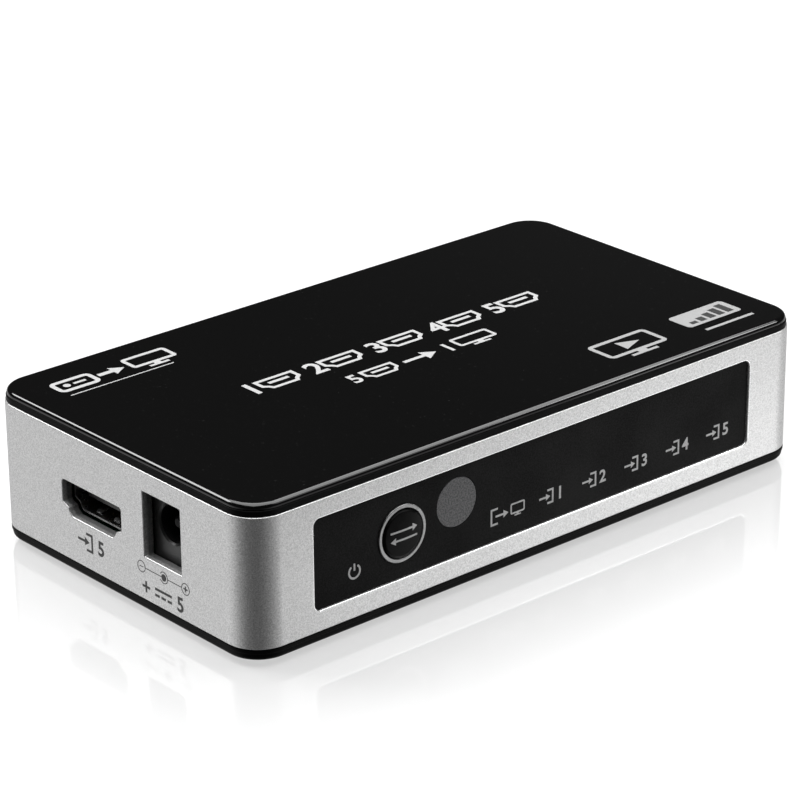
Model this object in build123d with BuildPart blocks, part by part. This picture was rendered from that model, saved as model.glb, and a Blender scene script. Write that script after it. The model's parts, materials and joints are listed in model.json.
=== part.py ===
from build123d import *
import os

os.makedirs("parts", exist_ok=True)

# A desktop switch box: two black covers clamp a silver ring, and the board, its sockets,
# the push button and the indicator lights stand on the bottom cover inside it.
# X runs along the front, -Y is the front, Z is up, and the origin is on the ground under the middle.

# Case
case_length = 119.0
case_width = 66.2
corner_radius = 5.9
wall = 2.0
foot_proud = 1.0
base_height = 1.95
band_height = 21.8
rim_height = 1.0
plate_height = 1.0

# Bottom cover
strip_height = 0.7
base_inset = 0.18
base_edge_radius = 0.75
lip_height = 2.0
lip_thickness = 1.2
boss_height = 5.65
boss_radius = 2.6
boss_hole_radius = 1.0
boss_hole_depth = 5.0
gusset_reach = 1.8
gusset_height = 3.6
gusset_thickness = 1.0
collar_radius = 3.5
collar_height = 2.6
floor_rib_height = 1.2
floor_rib_length = 84.0
floor_rib_spacing = 16.0
floor_rib_count = 3

# Top cover and its plate
deck_thickness = 1.6
tray_depth = 0.4
tray_inset = 2.2
rim_inset = 0.2
rim_edge_radius = 0.18
post_radius = 3.1
post_hole_radius = 1.25
post_hole_depth = 10.0
deck_rib_thickness = 1.0
deck_rib_height = 1.4
deck_rib_length = 90.0
deck_rib_width = 50.0
deck_rib_spacing = 22.0
deck_rib_rows = 3
deck_rib_columns = 5
plate_inset = 0.35
plate_edge_radius = 0.8
plate_under_chamfer = 0.15

# Screws and feet, placed from the case's ends, front and rear
screw_end_inset = 6.5
screw_side_inset = 6.1
screw_sink_radius = 2.9
screw_sink_depth = 2.2
screw_pass_radius = 1.5
case_head_radius = 2.6
case_head_height = 1.5
case_shank_radius = 1.15
case_shank_length = 9.0
board_head_radius = 2.2
board_head_height = 1.2
board_shank_radius = 0.9
board_shank_length = 6.0
head_edge_radius = 0.4
drive_width = 0.5
drive_depth = 0.8
drive_share = 1.3
foot_end_inset = 16.5
foot_side_inset = 11.1
foot_radius = 4.0
foot_recess = 0.6
foot_edge_radius = 0.3

# Front panel: overlay, window, button and lights, placed from its left end
panel_end_margin = 12.35
panel_height = 15.3
panel_centre_x = -0.2
panel_centre_rise = 11.1
panel_radius = 1.2
panel_recess = 0.9
overlay_thickness = 0.5
button_inset = 17.75
button_rise = 11.0
ring_radius = 4.8
ring_thickness = 0.65
ring_proud = 0.25
ring_flange_radius = 5.4
flange_thickness = 0.4
ring_edge_radius = 0.15
button_gap = 0.15
button_travel = 0.4
crown_rise = 0.3
crown_shares = (0.5, 0.75)
cap_shoulder = 0.1
cap_wall = 0.8
cap_flange_radius = 4.9
cap_flange_thickness = 0.8
stem_radius = 1.7
stem_end = 4.1
window_inset = 29.05
window_rise = 12.75
window_radius = 4.15
window_flange_radius = 4.7
window_depth = 1.7
light_rise = 11.05
power_light_inset = 8.15
output_light_inset = 39.45
first_input_inset = 49.55
last_input_inset = 6.75
input_count = 5
guide_radius = 1.0
guide_collar_radius = 1.6
guide_collar_length = 0.8
guide_length = 2.6
lamp_radius = 1.5
lamp_length = 3.2
lamp_flange_radius = 1.85
lamp_flange_thickness = 0.8
lamp_gap = 0.3
lamp_leg = 0.5
lamp_leg_spacing = 1.27

# Button switch
plunger_radius = 1.4
plunger_length = 3.2
switch_size = 6.2
switch_depth = 3.6
switch_face_gap = 1.5
bracket_thickness = 0.35

# Infrared receiver
receiver_width = 5.8
receiver_height = 6.8
receiver_depth = 2.8
receiver_lens_radius = 2.1
receiver_lens_reach = 0.9
receiver_gap = 0.8
receiver_lead = 0.6
receiver_lead_spacing = 1.9

# Board
board_thickness = 1.6
board_margin = 1.0
board_hole_radius = 1.3
button_notch_width = 11.6
button_notch_depth = 1.8
board_screw_end_inset = 11.5
board_screw_front_inset = 10.1
board_screw_rear_inset = 20.1
board_screw_socket_clear = 10.0

# Video sockets, measured from the middle of the mouth
mouth_width = 14.0
mouth_height = 4.55
mouth_shoulder = 0.6
mouth_waist_width = 11.4
mouth_waist_top = 1.15
mouth_waist_bottom = 1.8
mouth_floor_width = 9.9
mouth_bend = 0.3
mouth_top_bend = 0.5
shell_thickness = 0.3
shell_depth = 11.5
socket_rise = 3.55
socket_gap = 0.1
socket_opening_gap = 0.35
socket_opening_drop = 0.15
shell_leg_width = 1.2
shell_leg_below = 0.8
front_leg_station = 2.6
rear_leg_station = 9.2
leg_hole_radius = 0.85
tongue_width = 11.2
tongue_thickness = 1.9
tongue_rise = 0.25
tongue_setback = 1.3
tongue_depth = 7.6
tongue_edge = 0.3
insulator_gap = 0.05
insulator_foot_width = 12.4
insulator_foot_depth = 1.5
contact_pitch = 1.0
contact_width = 0.45
contact_thickness = 0.15
contact_setback = 2.0
upper_contacts = 10
lower_contacts = 9
tail_pitch = 0.5
tail_width = 0.25
tail_thickness = 0.2
tail_height = 1.2
tail_length = 1.0
end_socket_rear_inset = 26.45
rear_socket_end_inset = 18.5
rear_sockets = ("output", "input_1", "input_2", "input_3", "input_4")

# Power jack, measured from its bore
jack_y = -11.4
jack_width = 9.0
jack_height = 11.0
jack_face_depth = 3.3
jack_depth = 14.2
jack_barrel_radius = 4.2
jack_bore_radius = 3.15
jack_bore_depth = 9.6
jack_bore_rise = 6.5
jack_bore_chamfer = 0.3
jack_pin_radius = 1.05
jack_pin_setback = 1.0
jack_pin_chamfer = 0.4
jack_opening_gap = 0.15
jack_opening_height = 11.05
jack_window_start = 4.0
jack_window_length = 6.4
jack_window_width = 2.4
jack_spring_width = 2.0
jack_spring_thickness = 0.3
jack_spring_reach = 0.35

# Parts soldered to the board: the power parts follow each other from the jack, the rest
# stand by shares of the board
switch_chip_shares = (0.07, 0.0)
switch_chip_side = 14.0
switch_chip_height = 1.4
control_chip_shares = (-0.05, -0.17)
control_chip_length = 9.9
control_chip_width = 3.9
control_chip_height = 1.5
regulator_clear = 2.95
regulator_depth_share = -0.083
regulator_length = 6.5
regulator_width = 3.5
regulator_height = 1.7
inductor_clear = 3.75
inductor_depth_share = -0.033
inductor_side = 6.0
inductor_height = 2.8
inductor_core_radius = 2.4
input_capacitor_clear = 1.9
input_capacitor_depth_share = -0.266
filter_capacitor_clear = 4.4
filter_capacitor_depth_share = -0.216
output_capacitor_shares = (0.23, -0.2)
capacitor_radius = 3.15
capacitor_height = 7.0
capacitor_base = 6.6
capacitor_base_height = 0.8
capacitor_edge_radius = 0.5
crystal_shares = (0.11, -0.25)
crystal_length = 11.0
crystal_width = 4.5
crystal_height = 3.4
crystal_edge_radius = 0.5
chip_edge = 0.25

# Clearances and the overrun of every cut
lip_gap = 0.15
panel_gap = 0.1
plate_gap = 0.1
foot_gap = 0.05
fit_gap = 0.05
overrun = 1.0

# Levels and faces worked out from the sizes above
case_bottom = foot_proud
band_bottom = case_bottom + base_height
band_top = band_bottom + band_height
rim_top = band_top + rim_height
deck_bottom = rim_top - deck_thickness
board_bottom = band_bottom + boss_height
board_top = board_bottom + board_thickness
collar_top = band_bottom + collar_height
front_face = -case_width / 2
front_wall = front_face + wall
rear_wall = case_width / 2 - wall
left_wall = -case_length / 2 + wall
recess_floor = front_face + panel_recess
lip_inset = wall + lip_gap
lip_inner_inset = lip_inset + lip_thickness
pad_inset = tray_inset + plate_gap
overlay_face = recess_floor - overlay_thickness
screw_x = case_length / 2 - screw_end_inset
screw_y = case_width / 2 - screw_side_inset
foot_x = case_length / 2 - foot_end_inset
foot_y = case_width / 2 - foot_side_inset
panel_length = case_length - 2 * panel_end_margin
panel_left = panel_centre_x - panel_length / 2
button_x = panel_left + button_inset
window_x = panel_left + window_inset
button_z = band_bottom + button_rise
window_z = band_bottom + window_rise
light_z = band_bottom + light_rise
socket_z = board_top + socket_rise
jack_bore_z = board_top + jack_bore_rise
input_pitch = (panel_length - first_input_inset - last_input_inset) / (input_count - 1)
light_insets = [power_light_inset, output_light_inset]
light_insets += [first_input_inset + input_pitch * n for n in range(input_count)]
light_xs = [panel_left + inset for inset in light_insets]
end_socket_y = case_width / 2 - end_socket_rear_inset
rear_socket_middle = len(rear_sockets) // 2
rear_socket_pitch = (case_length / 2 - rear_socket_end_inset) / rear_socket_middle
rear_socket_xs = {
    name: rear_socket_pitch * (rear_socket_middle - n) for n, name in enumerate(rear_sockets)
}
shell_leg_stations = (front_leg_station, rear_leg_station)
board_length = case_length - 2 * (wall + board_margin)
board_width = case_width - 2 * (wall + board_margin)
jack_back = left_wall + socket_gap + jack_depth
regulator_x = jack_back + regulator_clear + regulator_length / 2
inductor_x = regulator_x + regulator_length / 2 + inductor_clear + inductor_side / 2
input_capacitor_x = jack_back + input_capacitor_clear + capacitor_base / 2
filter_capacitor_x = input_capacitor_x + capacitor_base + filter_capacitor_clear
board_screw_x = case_length / 2 - board_screw_end_inset
board_screw_front_y = board_screw_front_inset - case_width / 2
board_screw_rear_y = case_width / 2 - board_screw_rear_inset
board_screw_places = [
    (-board_screw_x, board_screw_front_y),
    (board_screw_x, board_screw_front_y),
    (board_screw_socket_clear - board_screw_x, board_screw_rear_y),
    (board_screw_x, board_screw_rear_y),
]


def front_plane(y):
    """A plane square to Y whose normal points out of the front."""
    return Plane(origin=(0, y, 0), x_dir=(1, 0, 0), z_dir=(0, -1, 0))


def socket_planes():
    """The mouth plane of each video socket, with Y up and Z pointing out of the mouth."""
    planes = {
        "input_5": Plane(
            origin=(left_wall + socket_gap, end_socket_y, socket_z),
            x_dir=(0, -1, 0),
            z_dir=(-1, 0, 0),
        )
    }
    for name, x in rear_socket_xs.items():
        planes[name] = Plane(
            origin=(x, rear_wall - socket_gap, socket_z),
            x_dir=(-1, 0, 0),
            z_dir=(0, 1, 0),
        )
    return planes


def jack_plane():
    """The face of the power jack, with the bore's axis as its Z."""
    return Plane(
        origin=(left_wall + socket_gap, jack_y, jack_bore_z), x_dir=(0, -1, 0), z_dir=(-1, 0, 0)
    )


def mouth_profile(grow=0):
    """The stepped outline of a video plug, grown outwards by a gap."""
    half = [
        (mouth_width / 2, mouth_height / 2),
        (mouth_width / 2, -mouth_shoulder),
        (mouth_waist_width / 2, -mouth_waist_top),
        (mouth_waist_width / 2 - mouth_bend, -mouth_waist_bottom),
        (mouth_floor_width / 2, -mouth_height / 2),
    ]
    with BuildSketch() as profile:
        with BuildLine():
            Polyline(*half, *[(-x, y) for x, y in reversed(half)], close=True)
        make_face()
        if grow:
            offset(amount=grow, kind=Kind.INTERSECTION)
        fillet(vertices().sort_by(Axis.Y)[-2:], mouth_top_bend)
        fillet(vertices().sort_by(Axis.Y)[:-4], mouth_bend)
    return profile.sketch


# Side band: the silver ring, with its openings and the panel recess
with BuildPart() as side_band:
    with BuildSketch(Plane.XY.offset(band_bottom)):
        RectangleRounded(case_length, case_width, corner_radius)
        RectangleRounded(
            case_length - 2 * wall, case_width - 2 * wall, corner_radius - wall, mode=Mode.SUBTRACT
        )
    extrude(amount=band_height)
    with BuildSketch(front_plane(recess_floor)):
        with Locations((panel_centre_x, band_bottom + panel_centre_rise)):
            RectangleRounded(panel_length, panel_height, panel_radius)
    extrude(amount=panel_recess + overrun, mode=Mode.SUBTRACT)
    with BuildSketch(front_plane(recess_floor)):
        with Locations((button_x, button_z)):
            Circle(ring_flange_radius + fit_gap)
        with Locations((window_x, window_z)):
            Circle(window_flange_radius + fit_gap)
    extrude(amount=-flange_thickness, mode=Mode.SUBTRACT)
    with BuildSketch(front_plane(recess_floor)):
        with Locations((button_x, button_z)):
            Circle(ring_radius - ring_thickness)
        with Locations((window_x, window_z)):
            Circle(window_radius)
        with Locations(*[(x, light_z) for x in light_xs]):
            Circle(guide_radius + fit_gap)
    extrude(amount=-(wall + overrun), mode=Mode.SUBTRACT)
    for plane in socket_planes().values():
        with BuildSketch(plane.offset(-overrun)):
            with Locations((0, -socket_opening_drop)):
                add(mouth_profile(shell_thickness + socket_opening_gap))
        extrude(amount=wall + 2 * overrun, mode=Mode.SUBTRACT)
    with BuildSketch(jack_plane()):
        with Locations(
            (0, jack_opening_gap - jack_bore_rise + jack_opening_height / 2),
        ):
            Rectangle(jack_width + 2 * jack_opening_gap, jack_opening_height)
    extrude(amount=wall + overrun, mode=Mode.SUBTRACT)
side_band.part.label = "side_band"
export_step(side_band.part, "parts/side_band.step")

# Bottom cover: floor, flush strip, locating lip, board bosses and screw collars
with BuildPart() as bottom_cover:
    with BuildSketch(Plane.XY.offset(case_bottom)):
        RectangleRounded(
            case_length - 2 * base_inset, case_width - 2 * base_inset, corner_radius - base_inset
        )
    extrude(amount=base_height - strip_height)
    fillet(faces().sort_by(Axis.Z)[0].edges(), base_edge_radius)
    with BuildSketch(Plane.XY.offset(band_bottom - strip_height)):
        RectangleRounded(case_length, case_width, corner_radius)
    extrude(amount=strip_height)
    with BuildSketch(Plane.XY.offset(band_bottom)):
        RectangleRounded(
            case_length - 2 * lip_inset, case_width - 2 * lip_inset, corner_radius - lip_inset
        )
        RectangleRounded(
            case_length - 2 * lip_inner_inset,
            case_width - 2 * lip_inner_inset,
            corner_radius - lip_inner_inset,
            mode=Mode.SUBTRACT,
        )
    extrude(amount=lip_height)
    with BuildSketch(Plane.XY.offset(band_bottom)):
        with GridLocations(0, floor_rib_spacing, 1, floor_rib_count):
            Rectangle(floor_rib_length, gusset_thickness)
    extrude(amount=floor_rib_height)
    for x, y in board_screw_places:
        with BuildSketch(Plane.XY.offset(band_bottom)):
            with Locations((x, y)):
                Circle(boss_radius)
        extrude(amount=boss_height)
        with BuildSketch(Plane.XY.offset(band_bottom)):
            with Locations((x, y)):
                Rectangle(2 * (boss_radius + gusset_reach), gusset_thickness)
                Rectangle(gusset_thickness, 2 * (boss_radius + gusset_reach))
        extrude(amount=gusset_height)
    with BuildSketch(Plane.XY.offset(band_bottom)):
        with GridLocations(2 * screw_x, 2 * screw_y, 2, 2):
            Circle(collar_radius)
    extrude(amount=collar_height)
    with BuildSketch(Plane.XY.offset(board_bottom)):
        with Locations(*board_screw_places):
            Circle(boss_hole_radius)
    extrude(amount=-boss_hole_depth, mode=Mode.SUBTRACT)
    with BuildSketch(Plane.XY.offset(case_bottom)):
        with GridLocations(2 * screw_x, 2 * screw_y, 2, 2):
            Circle(screw_sink_radius)
    extrude(amount=screw_sink_depth, mode=Mode.SUBTRACT)
    with BuildSketch(Plane.XY.offset(case_bottom)):
        with GridLocations(2 * screw_x, 2 * screw_y, 2, 2):
            Circle(screw_pass_radius)
    extrude(amount=base_height + collar_height + overrun, mode=Mode.SUBTRACT)
    with BuildSketch(Plane.XY.offset(case_bottom)):
        with GridLocations(2 * foot_x, 2 * foot_y, 2, 2):
            Circle(foot_radius + foot_gap)
    extrude(amount=foot_recess, mode=Mode.SUBTRACT)
bottom_cover.part.label = "bottom_cover"
export_step(bottom_cover.part, "parts/bottom_cover.step")

# Top cover: rim just inside the band, deck with a tray for the plate, skirt, ribs and posts
with BuildPart() as top_cover:
    with BuildSketch(Plane.XY.offset(band_top)):
        RectangleRounded(
            case_length - 2 * rim_inset, case_width - 2 * rim_inset, corner_radius - rim_inset
        )
    extrude(amount=rim_height)
    fillet(faces().sort_by(Axis.Z)[-1].edges(), rim_edge_radius)
    with BuildSketch(Plane.XY.offset(deck_bottom)):
        RectangleRounded(
            case_length - 2 * lip_inset, case_width - 2 * lip_inset, corner_radius - lip_inset
        )
    extrude(until=Until.NEXT)
    with BuildSketch(Plane.XY.offset(band_top - lip_height)):
        RectangleRounded(
            case_length - 2 * lip_inset, case_width - 2 * lip_inset, corner_radius - lip_inset
        )
        RectangleRounded(
            case_length - 2 * lip_inner_inset,
            case_width - 2 * lip_inner_inset,
            corner_radius - lip_inner_inset,
            mode=Mode.SUBTRACT,
        )
    extrude(amount=lip_height)
    with BuildSketch(Plane.XY.offset(deck_bottom)):
        with GridLocations(0, deck_rib_spacing, 1, deck_rib_rows):
            Rectangle(deck_rib_length, deck_rib_thickness)
        with GridLocations(deck_rib_spacing, 0, deck_rib_columns, 1):
            Rectangle(deck_rib_thickness, deck_rib_width)
    extrude(amount=-deck_rib_height)
    with BuildSketch(Plane.XY.offset(collar_top)):
        with GridLocations(2 * screw_x, 2 * screw_y, 2, 2):
            Circle(post_radius)
    extrude(amount=deck_bottom - collar_top)
    with BuildSketch(Plane.XY.offset(collar_top)):
        with GridLocations(2 * screw_x, 2 * screw_y, 2, 2):
            Circle(post_hole_radius)
    extrude(amount=post_hole_depth, mode=Mode.SUBTRACT)
    with BuildSketch(Plane.XY.offset(rim_top)):
        RectangleRounded(
            case_length - 2 * tray_inset, case_width - 2 * tray_inset, corner_radius - tray_inset
        )
    extrude(amount=-tray_depth, mode=Mode.SUBTRACT)
top_cover.part.label = "top_cover"
export_step(top_cover.part, "parts/top_cover.step")

# Top plate: gloss inlay with a soft edge, its pad lies in the cover's tray
with BuildPart() as top_plate:
    with BuildSketch(Plane.XY.offset(rim_top)):
        RectangleRounded(
            case_length - 2 * plate_inset, case_width - 2 * plate_inset, corner_radius - plate_inset
        )
    extrude(amount=plate_height)
    fillet(faces().sort_by(Axis.Z)[-1].edges(), plate_edge_radius)
    chamfer(faces().sort_by(Axis.Z)[0].edges(), plate_under_chamfer)
    with BuildSketch(Plane.XY.offset(rim_top)):
        RectangleRounded(
            case_length - 2 * pad_inset, case_width - 2 * pad_inset, corner_radius - pad_inset
        )
    extrude(amount=-tray_depth)
top_plate.part.label = "top_plate"
export_step(top_plate.part, "parts/top_plate.step")

# Front overlay: matt panel with holes for the button ring and the window
with BuildPart() as front_overlay:
    with BuildSketch(front_plane(recess_floor)):
        with Locations((panel_centre_x, band_bottom + panel_centre_rise)):
            RectangleRounded(
                panel_length - 2 * panel_gap, panel_height - 2 * panel_gap, panel_radius - panel_gap
            )
        with Locations((button_x, button_z)):
            Circle(ring_radius + fit_gap, mode=Mode.SUBTRACT)
        with Locations((window_x, window_z)):
            Circle(window_radius + fit_gap, mode=Mode.SUBTRACT)
    extrude(amount=overlay_thickness)
front_overlay.part.label = "front_overlay"
export_step(front_overlay.part, "parts/front_overlay.step")

# Button ring: plated trim held by its flange behind the overlay
with BuildPart() as button_ring:
    with BuildSketch(front_plane(recess_floor + flange_thickness)):
        with Locations((button_x, button_z)):
            Circle(ring_flange_radius)
            Circle(ring_radius - ring_thickness, mode=Mode.SUBTRACT)
    extrude(amount=flange_thickness)
    with BuildSketch(front_plane(recess_floor)):
        with Locations((button_x, button_z)):
            Circle(ring_radius)
            Circle(ring_radius - ring_thickness, mode=Mode.SUBTRACT)
    extrude(amount=overlay_thickness + ring_proud)
    fillet(faces().sort_by(Axis.Y)[0].edges(), ring_edge_radius)
button_ring.part.label = "button_ring"
export_step(button_ring.part, "parts/button_ring.step")

# Button cap: domed crown, hollow skirt, retaining flange behind the wall and a stem
cap_radius = ring_radius - ring_thickness - button_gap
cap_front = overlay_face - ring_proud - cap_shoulder
cap_flange_front = front_wall + button_gap
stem_tip = front_wall + stem_end
with BuildPart() as button_cap:
    axis_plane = Plane(origin=(button_x, 0, button_z), x_dir=(1, 0, 0), z_dir=(0, 0, 1))
    with BuildSketch(axis_plane):
        with BuildLine():
            crown_edge = (cap_radius, cap_front)
            ThreePointArc(
                (0, cap_front - crown_rise),
                (cap_radius * crown_shares[0], cap_front - crown_rise * crown_shares[1]),
                crown_edge,
            )
            Polyline(
                crown_edge,
                (cap_radius, cap_flange_front),
                (cap_flange_radius, cap_flange_front),
                (cap_flange_radius, cap_flange_front + cap_flange_thickness),
                (cap_radius - cap_wall, cap_flange_front + cap_flange_thickness),
                (cap_radius - cap_wall, cap_front + cap_wall),
                (stem_radius, cap_front + cap_wall),
                (stem_radius, stem_tip),
                (0, stem_tip),
                (0, cap_front - crown_rise),
            )
        make_face()
    revolve(axis=Axis((button_x, 0, button_z), (0, 1, 0)))
button_cap.part.label = "button_cap"
export_step(button_cap.part, "parts/button_cap.step")

# Switch plunger: moves with the cap into the switch
with BuildPart() as switch_plunger:
    with BuildSketch(front_plane(stem_tip)):
        with Locations((button_x, button_z)):
            Circle(plunger_radius)
    extrude(amount=-plunger_length)
switch_plunger.part.label = "switch_plunger"
export_step(switch_plunger.part, "parts/switch_plunger.step")

# Switch body: a moulded block with the plunger's bore
switch_front = stem_tip + switch_face_gap
plunger_end = stem_tip + plunger_length
with BuildPart() as switch_body:
    with BuildSketch(front_plane(switch_front)):
        with Locations((button_x, button_z)):
            Rectangle(switch_size, switch_size)
    extrude(amount=-switch_depth)
    with BuildSketch(front_plane(switch_front)):
        with Locations((button_x, button_z)):
            Circle(plunger_radius + button_gap)
    extrude(
        amount=-(plunger_end - switch_front + button_travel + button_gap), mode=Mode.SUBTRACT
    )
switch_body.part.label = "switch_body"
export_step(switch_body.part, "parts/switch_body.step")

# Switch bracket: folded steel round the switch's back and sides, standing on the board
with BuildPart() as switch_bracket:
    with BuildSketch(Plane.XY.offset(board_top)):
        back = switch_front + switch_depth + bracket_thickness
        depth = switch_depth + bracket_thickness
        with Locations((button_x, back - depth / 2)):
            Rectangle(switch_size + 2 * bracket_thickness, depth)
        with Locations((button_x, switch_front + switch_depth / 2)):
            Rectangle(switch_size, switch_depth, mode=Mode.SUBTRACT)
    extrude(amount=button_z + switch_size / 2 - board_top)
switch_bracket.part.label = "switch_bracket"
export_step(switch_bracket.part, "parts/switch_bracket.step")

# Infrared window: smoky disc with a flange behind the overlay
with BuildPart() as ir_window:
    with BuildSketch(front_plane(recess_floor + flange_thickness)):
        with Locations((window_x, window_z)):
            Circle(window_flange_radius)
    extrude(amount=flange_thickness)
    with BuildSketch(front_plane(overlay_face)):
        with Locations((window_x, window_z)):
            Circle(window_radius - fit_gap)
    extrude(amount=-window_depth)
ir_window.part.label = "ir_window"
export_step(ir_window.part, "parts/ir_window.step")

# Infrared receiver: moulded block with a round lens and three leads
receiver_front = front_wall + receiver_gap + receiver_lens_reach
with BuildPart() as ir_receiver:
    with BuildSketch(front_plane(receiver_front)):
        with Locations((window_x, window_z)):
            Rectangle(receiver_width, receiver_height)
    extrude(amount=-receiver_depth)
    with BuildSketch(front_plane(receiver_front)):
        with Locations((window_x, window_z)):
            Circle(receiver_lens_radius)
    extrude(amount=receiver_lens_reach)
    fillet(faces().sort_by(Axis.Y)[0].edges(), receiver_lens_reach / 2)
    with BuildSketch(Plane.XY.offset(board_top)):
        with Locations((window_x, receiver_front + receiver_depth / 2)):
            with GridLocations(receiver_lead_spacing, 0, 3, 1):
                Rectangle(receiver_lead, receiver_lead)
    extrude(amount=window_z - receiver_height / 2 - board_top)
ir_receiver.part.label = "ir_receiver"
export_step(ir_receiver.part, "parts/ir_receiver.step")

# Light guides: clear rods from the lamps to the back of the overlay
with BuildPart() as light_guides:
    with BuildSketch(front_plane(recess_floor)):
        with Locations(*[(x, light_z) for x in light_xs]):
            Circle(guide_radius)
    extrude(amount=-guide_length)
    with BuildSketch(front_plane(front_wall)):
        with Locations(*[(x, light_z) for x in light_xs]):
            Circle(guide_collar_radius)
    extrude(amount=-guide_collar_length)
light_guides.part.label = "light_guides"
export_step(light_guides.part, "parts/light_guides.step")

# Status lamps: round lamps lying behind the guides on two bent legs each
lamp_tip = recess_floor + guide_length + lamp_gap
with BuildPart() as status_lamps:
    with BuildSketch(front_plane(lamp_tip)):
        with Locations(*[(x, light_z) for x in light_xs]):
            Circle(lamp_radius)
    extrude(amount=-(lamp_radius + lamp_length))
    fillet(faces().filter_by(Axis.Y).group_by(Axis.Y)[0].edges(), lamp_radius - lamp_gap)
    with BuildSketch(front_plane(lamp_tip + lamp_radius + lamp_length)):
        with Locations(*[(x, light_z) for x in light_xs]):
            Circle(lamp_flange_radius)
    extrude(amount=-lamp_flange_thickness)
    leg_y = lamp_tip + lamp_radius + lamp_length + lamp_flange_thickness + lamp_leg / 2
    with BuildSketch(Plane.XY.offset(board_top)):
        for x in light_xs:
            with Locations((x, leg_y)):
                with GridLocations(2 * lamp_leg_spacing, 0, 2, 1):
                    Rectangle(lamp_leg, lamp_leg)
    extrude(amount=light_z + lamp_leg / 2 - board_top)
status_lamps.part.label = "status_lamps"
export_step(status_lamps.part, "parts/status_lamps.step")

# Main board: corner notches for the posts, a notch for the button and all its holes
with BuildPart() as main_board:
    notch_x = screw_x - post_radius - board_margin
    notch_y = screw_y - post_radius - board_margin
    with BuildSketch(Plane.XY.offset(board_bottom)):
        Rectangle(board_length, board_width)
        with GridLocations(2 * notch_x + board_length, 2 * notch_y + board_width, 2, 2):
            Rectangle(board_length, board_width, mode=Mode.SUBTRACT)
        with Locations((button_x, -board_width / 2)):
            Rectangle(button_notch_width, 2 * button_notch_depth, mode=Mode.SUBTRACT)
        with Locations(*board_screw_places):
            Circle(board_hole_radius, mode=Mode.SUBTRACT)
        for plane in socket_planes().values():
            for station in shell_leg_stations:
                for side in (-1, 1):
                    reach = side * (mouth_width + shell_thickness) / 2
                    leg = plane.from_local_coords((reach, 0, -station))
                    with Locations((leg.X, leg.Y)):
                        Circle(leg_hole_radius, mode=Mode.SUBTRACT)
    extrude(amount=board_thickness)
main_board.part.label = "main_board"
export_step(main_board.part, "parts/main_board.step")


def socket_shell(plane):
    """The folded steel shell of a video socket, with its four solder legs."""
    with BuildPart() as shell:
        with BuildSketch(plane):
            add(mouth_profile(shell_thickness))
        extrude(amount=-shell_depth)
        for station in shell_leg_stations:
            with BuildSketch(plane.offset(-station - shell_leg_width / 2)):
                leg_height = socket_rise + board_thickness + shell_leg_below
                for side in (-1, 1):
                    with Locations((side * (mouth_width + shell_thickness) / 2, -leg_height / 2)):
                        Rectangle(shell_thickness, leg_height)
            extrude(amount=shell_leg_width)
        with BuildSketch(plane):
            add(mouth_profile())
        extrude(amount=-shell_depth, mode=Mode.SUBTRACT)
    return shell


def socket_insulator(plane):
    """The moulded block that closes a shell, with its tongue and its foot on the board."""
    with BuildPart() as insulator:
        with BuildSketch(plane.offset(-tongue_depth)):
            add(mouth_profile(-insulator_gap))
        extrude(amount=tongue_depth - shell_depth)
        with BuildSketch(plane.offset(-tongue_setback)):
            with Locations((0, tongue_rise)):
                Rectangle(tongue_width, tongue_thickness)
        extrude(amount=tongue_setback - tongue_depth)
        front = faces().sort_by(Axis(plane.origin, plane.z_dir))[-1]
        chamfer(front.edges(), tongue_edge)
        with BuildSketch(plane.offset(-shell_depth)):
            foot_top = mouth_height / 2
            foot_height = foot_top + socket_rise
            with Locations((0, foot_top - foot_height / 2)):
                Rectangle(insulator_foot_width, foot_height)
        extrude(amount=-insulator_foot_depth)
    return insulator


def socket_contacts(plane):
    """The gold blades on both faces of the tongue and the tails soldered behind the block."""
    blade_length = tongue_depth - contact_setback
    with BuildPart() as contacts:
        with BuildSketch(plane.offset(-contact_setback)):
            top = tongue_rise + (tongue_thickness + contact_thickness) / 2
            bottom = tongue_rise - (tongue_thickness + contact_thickness) / 2
            with Locations((0, top)):
                with GridLocations(contact_pitch, 0, upper_contacts, 1):
                    Rectangle(contact_width, contact_thickness)
            with Locations((0, bottom)):
                with GridLocations(contact_pitch, 0, lower_contacts, 1):
                    Rectangle(contact_width, contact_thickness)
        extrude(amount=-blade_length)
        back = -shell_depth - insulator_foot_depth
        count = upper_contacts + lower_contacts
        with BuildSketch(plane.offset(back)):
            with Locations((0, tail_height / 2 - socket_rise)):
                with GridLocations(tail_pitch, 0, count, 1):
                    Rectangle(tail_width, tail_height)
        extrude(amount=-tail_thickness)
        with BuildSketch(plane.offset(back)):
            with Locations((0, tail_thickness / 2 - socket_rise)):
                with GridLocations(tail_pitch, 0, count, 1):
                    Rectangle(tail_width, tail_thickness)
        extrude(amount=-tail_length)
    return contacts


# Video sockets: shell, insulator and contacts of each, one at the left end and the rest at the rear
for name, plane in socket_planes().items():
    shell = socket_shell(plane)
    shell.part.label = f"{name}_shell"
    export_step(shell.part, f"parts/{name}_shell.step")
    insulator = socket_insulator(plane)
    insulator.part.label = f"{name}_insulator"
    export_step(insulator.part, f"parts/{name}_insulator.step")
    contacts = socket_contacts(plane)
    contacts.part.label = f"{name}_contacts"
    export_step(contacts.part, f"parts/{name}_contacts.step")

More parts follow.
